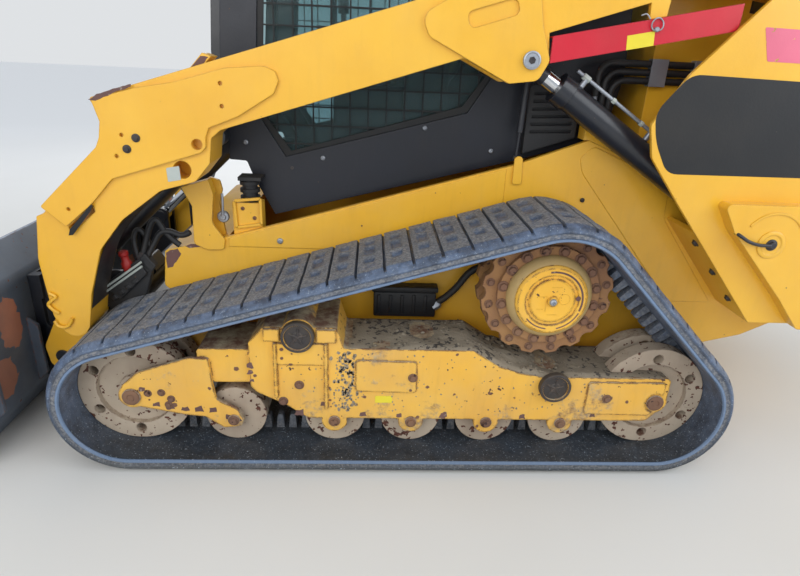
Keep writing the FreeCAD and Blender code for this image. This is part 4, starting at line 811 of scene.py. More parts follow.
def make_tread(sign, name):
    """One track: a closed section swept round the loop, and its guide lugs."""
    pitch = LOOP / BARS
    verts, faces, muds, water_and_bead_highlights = [], [], [], []
    rows = []
    low = TRACK_OUT - EDGE[-1][0]
    high = TRACK_IN + EDGE[-1][0]
    for bar_index in range(BARS):
        for share in STATIONS:
            at, out = on_loop((bar_index + share) * pitch)
            gap = min(share, 1 - share)
            columns = []
            for inset, height in EDGE:
                dirt = 0.9 if 0.012 < height < 0.026 else 0.10
                if gap < SLOT and height > 0.040:
                    height -= (height - 0.040) * 1.1
                elif abs(share - 0.5) < 0.03 and height > 0.044:
                    height -= 0.003
                # The bead's low rim carries the painted highlight value
                columns.append((TRACK_OUT - inset, height, dirt, BEAD_HIGHLIGHT if 0.0 < height < 0.012 else 0.0))
            for k in range(MIDDLES):
                y = low + (high - low) * (k + 0.5) / MIDDLES
                height, dirt, water_and_bead_highlight = tread_height(share, y, at.x, at.z)
                columns.append((y, height, dirt, water_and_bead_highlight))
            stagger = 0.007 if share > 0.5 else 0.0
            for inset, height in reversed(EDGE):
                dirt = 0.7 if height > 0.012 else 0.3
                if gap < SLOT and height > 0.030:
                    height = 0.030
                columns.append((TRACK_IN + inset + (stagger if height > 0.03 else 0.0), height, dirt, 0.0))
            rows.append(range(len(verts), len(verts) + len(columns)))
            for y, height, dirt, water_and_bead_highlight in columns:
                p = at + out * height
                verts.append((p.x, y * sign, p.z))
                muds.append(dirt)
                water_and_bead_highlights.append(water_and_bead_highlight)
    # the last row meets the first
    for a, b in zip(rows, rows[1:] + rows[:1]):
        for i in range(len(a)):
            j = (i + 1) % len(a)
            quad = (a[i], a[j], b[j], b[i])
            faces.append(quad if sign > 0 else quad[::-1])
    middle = (TRACK_OUT + TRACK_IN) / 2
    for i in range(BARS * 2):
        centre = (i + 0.5) * pitch / 2
        start = len(verts)
        for along, height, half in mm("14 2 18, 10 -44 15, 7 -50 11"):
            for s, w in ((-1, -1), (1, -1), (1, 1), (-1, 1)):
                at, out = on_loop(centre + s * along)
                p = at + out * height
                verts.append((p.x, (middle + w * half) * sign, p.z))
                muds.append(0.6)
                water_and_bead_highlights.append(0.0)
        for level in (0, 4):
            for k in range(4):
                j = (k + 1) % 4
                faces.append((start + level + k, start + level + j, start + level + 4 + j, start + level + 4 + k))
        faces.append(tuple(start + 8 + k for k in range(4)))
    mesh = bpy.data.meshes.new(name)
    mesh.from_pydata(verts, [], faces)
    for label, values in (("mud", muds), ("water_and_bead_highlight", water_and_bead_highlights)):
        mask = mesh.attributes.new(label, "FLOAT", "POINT")
        mask.data.foreach_set("value", values)
    mesh.materials.append(M["track_rubber"])
    smooth(mesh, 0.7)
    made = link_new(name, mesh)
    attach(made, "chassis")
    return made


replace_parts(make_tread(1, "tread_left"), "track_left")
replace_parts(make_tread(-1, "tread_right"), "track_right")
print("tread faces", len(bpy.data.meshes["tread_left"].polygons), "bars", BARS)

# %% [markdown]
# The undercarriage's fittings go on both sides: sprocket bolts and domes, hub cap marks, axle caps, frame bolts, and
# the soil with small stones that lies on the frames.
# %%
# Undercarriage fittings
coated("tan_dome", (184, 156, 100), (160, 134, 90), 0.7, (0.3, 0.4), (0.1, 0.9), (0.5, 0.6), wear=RUST,
        crust=(160, 140, 104), size=50.0)
coated("dark_cap", (44, 42, 47), (32, 31, 35), 0.5, (0.8, 0.6), (0.1, 0.7), (0.6, 0.35), wear=(112, 88, 74),
        radius=0.002, size=60.0)
coated("soil", (158, 148, 130), (116, 106, 92), 0.95, (0.2, 1.6), (0.0, 0.6), (0.4, 0.2), wear=(86, 80, 74),
        crust=(150, 138, 116), spots=(78, 68, 60), grain=0.2, size=70.0)
coated("rust_patch", (112, 80, 76), (84, 60, 58), 0.8, (0.8, 1.2), (0.0, 0.6), (0.4, 0.3), wear=(150, 132, 120),
        radius=0.002, size=60.0)
HUB = Vector((-0.460, 0, 0.600))
FRAME_FACE = 0.880
ROLLERS = (0.215, -0.040, -0.295, -0.550)
# The hub cap's marks: where they start, and how far low and high ones stand
MARK_FOOT = 0.8808
MARK_LOW = 0.8818
MARK_HIGH = 0.8820


def arc(bm, centre, r0, r1, start, end, y0, y1, steps=24):
    """A raised strip along an arc, with its angles as the photograph shows them."""
    turns = [math.radians(start + (end - start) * i / steps) for i in range(steps + 1)]
    outer = [(centre[0] - r1 * math.cos(t), centre[1] + r1 * math.sin(t)) for t in turns]
    inner = [(centre[0] - r0 * math.cos(t), centre[1] + r0 * math.sin(t)) for t in reversed(turns)]
    slab(bm, outer + inner, y0, y1, 0.0004)


for side, sign in SIDES:
    out = (0, sign, 0)
    bm = bmesh.new()
    for i in range(16):
        t = TURN * (i + 0.5) / 16
        bolt(bm, (HUB.x + 0.1515 * math.cos(t), sign * 0.839, HUB.z + 0.1515 * math.sin(t)), out, 0.0125, t)
        bolt(bm, (HUB.x + 0.190 * math.cos(t), sign * 0.825, HUB.z + 0.190 * math.sin(t)), out, 0.0095, t)
    for x, y, z in mm("328 880 286, 381 880 224, -39 886 321, -695 886 251"):
        bolt(bm, (x, sign * y, z), out, 0.011, x)
    for x, z in mm("813 247, 770 250, 741 227, 751 205"):
        bolt(bm, (x, sign * FRAME_FACE, z), out, 0.009, z)
    for x in ROLLERS + (0.545,):
        bolt(bm, (x, sign * 0.887, 0.1503), out, 0.0125, x)
    for x in (0.865, -0.865):
        turned(bm, (x, sign * 0.887, 0.235), out, mm("27 -1, 27 3, 24 5, 12 5, 10 2, 0 2"), 24)
    piece(bm, "undercarriage_bolts_" + side, "rusty_bolt")
    bm = bmesh.new()
    turned(bm, HUB + Vector((0, sign * 0.8395, 0)), out, mm("137.5 0, 137.5 4, 135 12, 129 21, 120.5 28, 115.5 30"),
            48)
    piece(bm, "hub_dome_" + side, "tan_dome")
    bm = bmesh.new()
    for x, z in mm("328 465, -510 295"):
        turned(bm, (x, sign * 0.8805, z), out, mm("52.5 0, 52.5 18, 50 21.5, 43.5 21.5, 42.5 13.8, 18 13.8, 15 16.5,"
                "0 16.5"), 32)
        for k in range(5):
            t = TURN * k / 5 + 0.4
            foot = Vector((x + 0.030 * math.cos(t), sign * 0.8945, z + 0.030 * math.sin(t)))
            bar(bm, [foot, Vector((x, sign * 0.8965, z))], 0.0036, 8)
    piece(bm, "axle_caps_" + side, "dark_cap")
    bm = bmesh.new()
    spot = (HUB.x, HUB.z)
    arc(bm, spot, 0.0925, 0.0985, 100, -20, sign * MARK_FOOT, sign * MARK_HIGH)
    arc(bm, spot, 0.0955, 0.0995, -24, -75, sign * MARK_FOOT, sign * MARK_LOW)
    arc(bm, spot, 0.0935, 0.0975, -95, -140, sign * MARK_FOOT, sign * MARK_LOW)
    arc(bm, (HUB.x - 0.081, HUB.z + 0.010), 0.0002, 0.008, 0, 350, sign * MARK_FOOT, sign * (MARK_LOW + 0.0012))
    piece(bm, "hub_wear_" + side, "rust_patch")
    bm = bmesh.new()
    arc(bm, spot, 0.0655, 0.0685, 0, 358, sign * MARK_FOOT, sign * MARK_HIGH, 48)
    arc(bm, (HUB.x - 0.038, HUB.z + 0.006), 0.0165, 0.0185, 0, 355, sign * MARK_FOOT, sign * MARK_LOW)
    for x0, x1, z0, z1 in mm("20 50 12 15, 17 20 -36 15, -26 6 44 47, -20 12 -48 -45, 26 46 -30 -27"):
        corners = [(x0, z0), (x1, z0), (x1, z1), (x0, z1)]
        slab(bm, [(HUB.x + x, HUB.z + z) for x, z in corners], sign * MARK_FOOT, sign * MARK_LOW, 0.0003)
    piece(bm, "hub_marks_" + side, "yellow_clean")
    bm = bmesh.new()
    dome_bolt(bm, (HUB.x, sign * 0.891, HUB.z), out, 0.012)
    piece(bm, "hub_plug_" + side, "bright_steel")

# Soil on the frame's saddle: x, z along its top, and how thick it lies there
SADDLE = mm("176 420 4, 120 420 7, 20 420 10, -80 420 12, -160 420 15, -225 420 18, -270 394 20, -318 364 24,"
        "-390 340 26, -470 326 22, -560 326 16, -660 326 10, -780 326 6, -895 326 3")
SOIL_LOW = 0.652
SOIL_HIGH = 0.877
SOIL_ROWS = 40


def saddle_at(x):
    """Height of the saddle at x, and the thickness of its soil."""
    for (x0, z0, t0), (x1, z1, t1) in zip(SADDLE, SADDLE[1:]):
        if x1 <= x <= x0:
            share = (x0 - x) / (x0 - x1)
            return z0 + (z1 - z0) * share, t0 + (t1 - t0) * share
    return SADDLE[-1][1], 0.002


for side, sign in SIDES:
    bm = bmesh.new()
    steps = 120
    rows = []
    for i in range(steps + 1):
        x = SADDLE[0][0] + (SADDLE[-1][0] - SADDLE[0][0]) * i / steps
        z, thick = saddle_at(x)
        row = []
        for k in range(SOIL_ROWS + 1):
            y = SOIL_LOW + (SOIL_HIGH - SOIL_LOW) * k / SOIL_ROWS
            n = 0.5 + 0.5 * noise.noise(Vector((x * 11, y * 11, sign)))
            n = n * 0.7 + 0.3 * (0.5 + 0.5 * noise.noise(Vector((x * 55, y * 55, 3 * sign))))
            edge = min(1, (k + 0.2) / 3, (SOIL_ROWS - k + 0.2) / 3)
            end = min(1, (i + 0.1) / 4, (steps - i + 0.1) / 4)
            bare = max(0.0, noise.noise(Vector((x * 7 + 5, y * 7, sign))) * 3.2 - 0.4)
            lift = 0.0006 + thick * n * edge * end * (1.0 - min(1.0, bare))
            row.append(bm.verts.new((x, sign * y, z + (lift if lift > 0.0012 else -0.002))))
        rows.append(row)
    for a, b in zip(rows, rows[1:]):
        for i in range(SOIL_ROWS):
            bm.faces.new((a[i], a[i + 1], b[i + 1], b[i]))
    piece(bm, "frame_soil_" + side, "soil", sharp=2.0)
    bm = bmesh.new()
    rng = random.Random(41 + sign)
    for i in range(260):
        x = rng.uniform(-0.86, 0.16)
        y = rng.uniform(SOIL_LOW + 0.01, SOIL_HIGH - 0.01)
        z, thick = saddle_at(x)
        r = rng.uniform(0.002, 0.0045) if rng.random() < 0.85 else rng.uniform(0.005, 0.009)
        made = bmesh.ops.create_icosphere(bm, subdivisions=1, radius=r)["verts"]
        stretch = Vector((rng.uniform(0.8, 1.5), rng.uniform(0.8, 1.4), rng.uniform(0.5, 0.9)))
        for v in made:
            v.co = Vector((v.co.x * stretch.x, v.co.y * stretch.y, v.co.z * stretch.z)) * rng.uniform(0.85, 1.15)
            v.co += Vector((x, sign * y, z + thick * 0.62))
    piece(bm, "frame_stones_" + side, "soil", sharp=0.2)
print("undercarriage fitted")

# %% [markdown]
# The tub, the towers and the cab get their seams, bolts and bare patches. The patches that carry words on the machine
# stay blank here.
# %%
# Tub, tower and cab fittings
WALL = 0.550
TOWER = 0.750
COVER = 0.800
CAB_SIDE = 0.455
POST_BOX = 0.530
for side, sign in SIDES:
    out = (0, sign, 0)
    bm = bmesh.new()
    slab(bm, mm("604 642, 604 672, -350 946, -350 800, -50 641"), sign * WALL, sign * (WALL + 0.003))
    slab(bm, rounded(mm("-596 990, -612 940, -896 608, -1020 470, -1185 470, -935 790, -930 915, -640 1032"), 0.015),
            sign * WALL, sign * (WALL + 0.003))
    piece(bm, "wall_plates_" + side, "yellow_lower")
    bm = bmesh.new()
    dome_bolt(bm, (0.425, sign * (WALL + 0.003), 0.668), out, 0.011)
    for x, z in mm("281 945, -71 1060, -309 990, 545 990, -600 1120"):
        dome_bolt(bm, (x, sign * CAB_SIDE, z), out, 0.0085)
    piece(bm, "silver_bolts_" + side, "bright_steel")
    bm = bmesh.new()
    dome_bolt(bm, (-0.628, sign * (WALL + 0.0035), 0.847), out, 0.008)
    turned(bm, (0.389, sign * CAB_SIDE, 0.907), out, mm("6 0, 6 1, 4 1.2, 0 0.5"), 14)
    for x, z in mm("-982 747, -1067 646, -1147 550"):
        bolt(bm, (x, sign * 0.700, z), (0.766, 0, -0.643), 0.010)
    piece(bm, "dark_bolts_" + side, "dark_cap")
    # marks on the tower's cover box
    bm = bmesh.new()
    turned(bm, (-1.168, sign * COVER, 0.777), out, mm("46 -1, 46 3, 43 5, 34 5, 31 2, 0 2"), 36)
    arc(bm, (-1.168, 0.777), 0.098, 0.106, 35, 145, sign * (COVER - 0.0005), sign * (COVER + 0.003))
    arc(bm, (-1.420, 0.777), 0.060, 0.066, 0, 180, sign * (COVER - 0.0005), sign * (COVER + 0.003))
    piece(bm, "cover_marks_" + side, "yellow_clean")
    bm = bmesh.new()
    bolt(bm, (-1.168, sign * (COVER + 0.002), 0.777), out, 0.013)
    bar(bm, sided(mm("-1046 790 812, -1060 808 803, -1085 811 789, -1120 812 779, -1160 812 777"), sign), 0.0055)
    piece(bm, "cover_latch_" + side, "black_paint")
    # bolts along the tower's plate and its raised rim
    bm = bmesh.new()
    for x, z in mm("-1700 1300, -1790 1050, -1790 820, -1620 560, -1300 1480"):
        dome_bolt(bm, (x, sign * TOWER, z), out, 0.010)
    piece(bm, "tower_bolts_" + side, "yellow_clean")

patch("bare_black_patch", "bare_black", "chassis",
        rounded(mm("-815 1272, -730 1162, -749 1077, -804 981, -1345 983, -1365 1020, -1265 1262"), 0.035,
        6), TOWER, 0.0008, 0.0003)
patch("bare_pink_patch", "bare_pink", "chassis", rounded(mm("-999 1405, -1240 1400, -1262 1312, -1030 1315"), 0.006),
        TOWER, 0.0007)
patch("frame_label", "bare_yellow", "chassis", rounded(mm("25.5 221.5, 81.5 221.5, 81.5 247.5, 25.5 247.5"), 0.003),
        FRAME_FACE)

# The black box on the left wall inside the track, with its lid and the hose to the drive motor
bm = bmesh.new()
block(bm, (-0.134, WALL, 0.404), (0.092, 0.596, 0.500), 0.006)
block(bm, (-0.140, WALL, 0.501), (0.099, 0.602, 0.522), 0.005)
for i in range(5):
    x = -0.10 + i * 0.042
    block(bm, (x, 0.594, 0.42), (x + 0.010, 0.600, 0.49), 0.002)
piece(bm, "wall_box", "black_plastic")
bm = bmesh.new()
bar(bm, mm("-128 582 452, -165 585 478, -205 590 522, -245 594 580, -290 596 608, -335 596 612"), 0.0125, 12)
piece(bm, "motor_hose", "black_rubber")
bm = bmesh.new()
turned(bm, (-0.328, 0.596, 0.612), (1, 0, -0.05), mm("19 -20, 19 14, 14 18, 12.8 30"), 6)
turned(bm, (-0.134, 0.582, 0.448), (-0.8, 0.05, 0.55), mm("18 -10, 18 12, 12.8 20"), 6)
piece(bm, "motor_hose_fittings", "bright_steel")

# Rust on the sill's corner and along the frame, in thin patches
bm = bmesh.new()
ragged(bm, mm("826 612, 812 622, 784 628, 772 610, 790 585, 808 560, 826 556"), WALL, WALL + 0.0006, 3)
ragged(bm, mm("760 640, 735 645, 700 652, 700 640, 738 632"), WALL, WALL + 0.0006, 5)
for x, z, r in mm("482 330 10, 480 355 12, 481 300 9, 250 215 10, 330 180 16, 120 175 12, 0 172 10, -150 175 14,"
        "-420 172 12, -660 180 10"):
    ragged(bm, [(x - r, z - r * 0.6), (x + r, z - r * 0.7), (x + r * 0.8, z + r * 0.6), (x - r * 0.7, z + r * 0.8)],
           FRAME_FACE, FRAME_FACE + 0.0005, x * 9, 0.006)
piece(bm, "rust_patches", "rust_patch")

# The grey disc and its light rod behind the left front post
bm = bmesh.new()
turned(bm, (0.626, 0.5072, 0.739), OUT, mm("21 0, 21 6, 18 10, 11 10, 9 16, 0 16"), 28)
bar(bm, mm("626 520 739, 623 520 785, 624 516 822"), 0.0045)
piece(bm, "front_post_disc", "bright_steel")
# The front brackets' boxes get their raised rims and bolts
for side, sign in SIDES:
    out = (0, sign, 0)
    rim = mm("579.5 803, 490 812, 490 722, 575.5 708")
    bm = bmesh.new()
    for k in range(4):
        a, c = Vector(rim[k]), Vector(rim[(k + 1) % 4])
        side_step = Vector((-(c - a).y, (c - a).x)).normalized() * 0.005
        slab(bm, [tuple(a + side_step), tuple(c + side_step), tuple(c - side_step), tuple(a - side_step)],
                sign * POST_BOX, sign * (POST_BOX + 0.010), 0.001)
    piece(bm, "bracket_rims_" + side, "yellow_lower")
    bm = bmesh.new()
    dome_bolt(bm, (0.553, sign * POST_BOX, 0.775), out, 0.007)
    dome_bolt(bm, (0.514, sign * POST_BOX, 0.742), out, 0.007)
    piece(bm, "bracket_bolts_" + side, "rusty_bolt")
print("tub and tower fitted")

# %% [markdown]
# The arms get their bolts, hooks, worn edges, stand pin and cylinder fittings, and the coupling box with its hoses.
# %%
# Arm fittings
ARM = 0.720
PLATE = 0.732
PIN_X, PIN_Z = -0.343, 1.290
# The lift cylinder's axis: its middle plane, its foot pin and its direction at rest
CYLINDER = 0.640
FOOT_X, FOOT_Z = -1.180, 0.750
ALONG_X, ALONG_Z = 0.8406, 0.5417
LINE_OFF = 0.074
for side, sign in SIDES:
    out = (0, sign, 0)
    bm = bmesh.new()
    for x, z in mm("805 1030, 835 997"):
        turned(bm, (x, sign * PLATE, z), out, mm("12.5 -1, 12.5 1.5, 9.5 1.8, 9.5 1.8"), 20)
        bolt(bm, (x, sign * (PLATE + 0.0015), z), out, 0.0085, z)
    piece(bm, "knee_bolts_" + side, "dark_cap", "boom")
    bm = bmesh.new()
    bar(bm, sided(mm("1150 725.5 524, 1131 726.5 512, 1142 727.5 500, 1158 726.5 484, 1146 726.5 464,"
            "1130 725.5 452"), sign), 0.0055)
    bar(bm, sided(mm("1150 725.5 424, 1140 726.5 406, 1118 727.5 402, 1100 726.5 416, 1091 725.5 435"), sign), 0.0055)
    piece(bm, "leg_hooks_" + side, "yellow_clean", "boom")
    bm = bmesh.new()
    turned(bm, (PIN_X, sign * 0.742, PIN_Z), out, mm("25.5 -1, 25.5 2, 21 3.5, 19 1.5, 0 1.5"), 32)
    piece(bm, "lift_pin_plug_" + side, "bright_steel", "boom")
    bm = bmesh.new()
    turned(bm, (-0.692, sign * 0.730, 1.386), out, mm("7 -2, 7 10, 5 12, 0 12"), 16)
    loop = [(-0.692 + 0.017 * math.cos(t), sign * (0.7365 + 0.002 * math.sin(2 * t)), 1.399 + 0.017 * math.sin(t))
            for t in [TURN * k / 14 - 1.4 for k in range(14)]]
    bar(bm, loop, 0.0021, 8)
    bar(bm, sided(mm("-668 736 1412, -655 737 1424, -640 736 1420"), sign), 0.0021, 8)
    piece(bm, "stand_pin_" + side, "bright_steel", "boom")
    bm = bmesh.new()
    turned(bm, (PIN_X, sign * 0.7436, PIN_Z), out, mm("10.5 0, 10.5 1.2, 7 1.2, 5.5 0.4, 0 0.4"), 6)
    piece(bm, "lift_pin_socket_" + side, "dark_cap", "boom")
    # A black patch on the plate: painted shade where the slot's gap lies in shadow
    patch("knee_slot_" + side, "screen_black", "boom", mm("1049.9 724.1, 1041.8 745.4, 965.4 826.9, 961.9 820.8,"
            "972.4 801.6, 1036 726.1"), PLATE, sign=sign)
    # nuts along the lift cylinder's steel line
    bm = bmesh.new()
    for along, r, length in mm("486 10 24, 560 8.5 14, 680 8.5 14, 790 10 26"):
        x = FOOT_X + ALONG_X * along - ALONG_Z * LINE_OFF
        z = FOOT_Z + ALONG_Z * along + ALONG_X * LINE_OFF
        turned(bm, (x, sign * CYLINDER, z), (ALONG_X, 0, ALONG_Z),
                [(r, 0), (r * 1.12, 0.002), (r * 1.12, length - 0.002), (r, length)], 6)
    piece(bm, "lift_line_nuts_" + side, "bare_white", "lift_barrel")

patch("stand_label", "bare_yellow", "boom", mm("-616 1328, -694 1343.5, -690.5 1382, -612.5 1366.5"), 0.730)
patch("arm_label", "bare_white", "boom", rounded(mm("731.6 942.4, 692.3 949.7, 690.6 907.3, 730.3 899.9"), 0.003),
        ARM)
bm = bmesh.new()
ragged(bm, mm("926 1133, 900 1148, 840 1168, 800 1180, 800 1172, 842 1158, 905 1130"), PLATE, PLATE + 0.0006, 7,
        0.003)
ragged(bm, mm("636 1229, 604 1262, 582 1260, 600 1240"), 0.708, 0.7086, 9, 0.003)
piece(bm, "arm_wear", "rust_patch", "boom")

# The coupling box beside the line block, its two bright strips, a loop, a red cap and the held hoses
BOX_OUT = 0.598
bm = bmesh.new()
slab(bm, rounded(mm("1046 417, 1032 505, 905 602, 868 552, 905 440, 960 392"), 0.010), 0.5605, 0.585, 0.002)
slab(bm, rounded(mm("1030 497, 905 588, 880 550, 985 449"), 0.006), 0.585, BOX_OUT, 0.002)
for k in range(4):
    x, z = 0.912 + k * 0.026, 0.520 - k * 0.021
    slab(bm, [(x, z), (x + 0.014, z - 0.011), (x + 0.024, z + 0.002), (x + 0.010, z + 0.013)], BOX_OUT,
            BOX_OUT + 0.006, 0.0015)
slab(bm, rounded(mm("905 600, 868 552, 850 575, 885 622"), 0.005), 0.5605, 0.590, 0.002)
piece(bm, "coupling_box", "black_plastic", "boom")
bm = bmesh.new()
for lift in (0.0, 0.016):
    bar(bm, [(1.040, BOX_OUT + 0.003, 0.488 - lift), (0.893, BOX_OUT + 0.003, 0.594 - lift)], 0.0042, 8, smooth=False)
loop = [(1.041 + 0.015 * math.cos(t), BOX_OUT - 0.006, 0.512 + 0.008 * math.sin(t))
        for t in [TURN * k / 12 for k in range(12)]]
bar(bm, loop, 0.0026, 8)
piece(bm, "coupling_strips", "bare_white", "boom")
bm = bmesh.new()
turned(bm, (0.953, 0.575, 0.570), (0.15, 0.05, 0.95), mm("16 -20, 18 0, 18 12, 13 20, 13 36, 16.5 40, 16.5 52,"
        "10 56, 0 56"), 18)
piece(bm, "coupling_cap", "red_cap", "boom")
HOSES = (("arch_hose_1", 0.0105, mm("890 572 590, 862 560 640, 838 552 690, 800 548 692, 762 549 672, 735 549 690")),
        ("arch_hose_2", 0.0105, mm("900 572 600, 885 560 660, 860 556 728, 842 552 735, 828 549 700, 800 545 660,"
        "775 545 640")), ("arch_hose_3", 0.009, mm("905 572 575, 930 562 640, 918 555 700, 890 553 690,"
        "872 553 630")))
for name, radius, points in HOSES:
    curve = bpy.data.curves.new(name, "CURVE")
    curve.dimensions = "3D"
    curve.bevel_depth = radius
    curve.bevel_resolution = 3
    curve.use_fill_caps = True
    line = curve.splines.new("NURBS")
    line.points.add(len(points) - 1)
    for spot, p in zip(line.points, points):
        spot.co = (*p, 1)
    line.order_u = 3
    line.use_endpoint_u = True
    curve.materials.append(M["black_rubber"])
    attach(link_new(name, curve), "boom")
bm = bmesh.new()
for x, y, z, lean in ((0.890, 0.572, 0.590, -0.4), (0.900, 0.572, 0.600, -0.2), (0.905, 0.572, 0.575, 0.3)):
    turned(bm, (x, y, z), (lean, -0.1, 0.9), mm("15 -12, 15 14, 11 20"), 6)
piece(bm, "arch_hose_nuts", "dark_cap", "boom")
# A dark lining along the arch's inner edge, partly dirt and partly painted shade for the dark inside of the thin
# plate, and the black end of each lift rod
ARCH = [Vector((x / 1000, 0, z / 1000)) for x, z in rounded([(690, 891), (756, 872), (885, 775), (966, 675),
        (1018, 520), (1042, 400), (1041, 399), (689, 890)], 70, 8)]
for side, sign in SIDES:
    # Dark strips over the arch's edge face: painted shade with some dirt
    bm = bmesh.new()
    trail = sorted((p for p in ARCH if 0.70 < p.x < 1.0405), key=lambda p: -p.z)
    rows = []
    for i, p in enumerate(trail):
        along = (trail[min(i + 1, len(trail) - 1)] - trail[max(i - 1, 0)]).normalized()
        inward = Vector((along.z, 0, -along.x)) * 0.0012
        row = []
        for k in range(13):
            y = 0.580 + 0.132 * k / 12
            if k == 12:
                y += 0.005 * noise.noise(Vector((p.x * 40, p.z * 40, sign)))
            row.append(bm.verts.new(Vector((p.x, sign * y, p.z)) + inward))
        rows.append(row)
    for a, b in zip(rows, rows[1:]):
        for k in range(12):
            bm.faces.new((a[k], a[k + 1], b[k + 1], b[k]))
    piece(bm, "arch_lining_" + side, "dark_cap", "boom", sharp=1.0)
    bm = bmesh.new()
    turned(bm, (PIN_X - ALONG_X * 0.040, sign * CYLINDER, PIN_Z - ALONG_Z * 0.040), (-ALONG_X, 0, -ALONG_Z),
            mm("27.2 0, 31 1.5, 31 44, 27.2 45.5"), 28)
    piece(bm, "lift_rod_end_" + side, "black_paint", "lift_rod")
# Flakes of dried mud on the frame's face, many of them along one band, and rust along the fork's lower edge
MUD_BAND = 190
for side, sign in SIDES:
    bm = bmesh.new()
    rng = random.Random(90)
    for k in range(MUD_BAND * 2):
        if k < MUD_BAND:
            x, z = rng.gauss(0.170, 0.020), rng.uniform(0.190, 0.405)
        else:
            x = rng.uniform(-0.86, 0.40)
            z = rng.uniform(0.190, min(saddle_at(min(x, 0.17))[0], 0.42) - 0.015)
        r = rng.uniform(0.0015, 0.0065) if k < MUD_BAND else rng.uniform(0.0012, 0.0035)
        turns = [TURN * (i + rng.uniform(-0.3, 0.3)) / 7 for i in range(7)]
        flake = [(x + r * rng.uniform(0.5, 1.3) * math.cos(t), z + r * rng.uniform(0.6, 1.6) * math.sin(t))
                for t in turns]
        slab(bm, flake, sign * FRAME_FACE, sign * (FRAME_FACE + 0.0007), 0.0002)
    piece(bm, "frame_mud_" + side, "soil")
    bm = bmesh.new()
    for x, z, r in mm("790 205 14, 745 196 16, 700 190 13, 655 187 15, 610 186 12, 560 160 14, 530 148 10,"
            "830 262 12, 860 235 10"):
        ragged(bm, [(x - r, z - r * 0.5), (x + r, z - r * 0.6), (x + r * 0.8, z + r * 0.5),
                (x - r * 0.7, z + r * 0.7)], sign * FRAME_FACE, sign * (FRAME_FACE + 0.0005), x * 13, 0.007)
    piece(bm, "fork_rust_" + side, "rust_patch")
print("arms fitted")

# %% [markdown]
# The bucket gets worn back plates, weld beads and edge bolts. The front door, the hood, the rear door and the bumper
# get their handle, wiper, latch and bolts, plain ones, because the photograph doesn't show these sides.
# %%
# Bucket, door, hood and rear fittings
coated("bucket_rust", (168, 108, 84), (124, 88, 76), 0.75, (0.3, 0.8), (0.0, 0.6), (0.3, 0.2), wear=(150, 150, 152),
        spots=(58, 46, 46), radius=0.002, size=60.0)
coated("bare_steel", (126, 134, 146), (96, 104, 118), 0.4, (0.8, 1.0), (0.0, 0.6), (0.2, 0.15), wear=(120, 84, 62),
        metal=0.7, radius=0.002, size=60.0)
BACK = 1.312
BUCKET_HALF = 0.990
BUCKET_TOP = 0.640


def turned_about(bm):
    """Swaps x and y, so that a slab drawn in x and z faces along x instead."""
    for vert in bm.verts:
        vert.co = Vector((vert.co.y, vert.co.x, vert.co.z))
    bmesh.ops.recalc_face_normals(bm, faces=bm.faces[:])


bm = bmesh.new()
for k, (y, z, wide, tall) in enumerate(mm("700 400 60 100, 800 240 85 75, 930 440 30 60, -720 360 70 90,"
        "-860 220 60 60, -930 460 30 50, 200 300 110 50, -250 260 90 60")):
    corners = [(y - wide, z - tall * 0.4), (y - wide * 0.3, z - tall), (y + wide * 0.8, z - tall * 0.7),
            (y + wide, z + tall * 0.3), (y + wide * 0.2, z + tall), (y - wide * 0.7, z + tall * 0.7)]
    ragged(bm, corners, BACK, BACK - 0.0006, 20 + k, 0.014, 7)
turned_about(bm)
piece(bm, "bucket_back_rust", "bucket_rust", "bucket")

bm = bmesh.new()
bar(bm, [(BACK + 0.086, -BUCKET_HALF + 0.004, BUCKET_TOP - 0.004), (BACK + 0.086, BUCKET_HALF - 0.004,
        BUCKET_TOP - 0.004)], 0.0065, 12, smooth=False)
for y in (-BUCKET_HALF + 0.0045, BUCKET_HALF - 0.0045):
    bar(bm, [(BACK + 0.112, y, BUCKET_TOP - 0.008), (1.60, y, 0.405), (1.880, y, 0.226)], 0.0055, 10, smooth=False)
piece(bm, "bucket_lip_bars", "bare_steel", "bucket")

bm = bmesh.new()
rng = random.Random(7)
for side in (-1, 1):
    for start, end in (((BACK + 0.030, 0.040), (1.82, 0.032)), ((BACK + 0.020, 0.14), (BACK + 0.020, 0.50))):
        steps = int(math.hypot(end[0] - start[0], end[1] - start[1]) / 0.008)
        for k in range(steps):
            t = k / steps
            x, z = start[0] + (end[0] - start[0]) * t, start[1] + (end[1] - start[1]) * t
            made = bmesh.ops.create_icosphere(bm, subdivisions=1, radius=0.0052 + 0.0008 * rng.random())["verts"]
            bmesh.ops.translate(bm, verts=made, vec=(x, side * (BUCKET_HALF - 0.0155), z))
piece(bm, "bucket_welds", "dark_steel", "bucket", sharp=1.2)

bm = bmesh.new()
for k in range(9):
    y = -0.88 + 0.22 * k
    turned(bm, (1.872, y, 0.0238), (0, 0, 1), mm("15.5 -1, 15.5 2.2, 13.5 4.2, 6 4.8, 0 4.8"), 18)
for side in (-1, 1):
    for x, z in mm("1420 130, 1600 100, 1760 80"):
        bolt(bm, (x, side * BUCKET_HALF, z), (0, side, 0), 0.012, x)
piece(bm, "bucket_bolts", "rusty_bolt", "bucket")

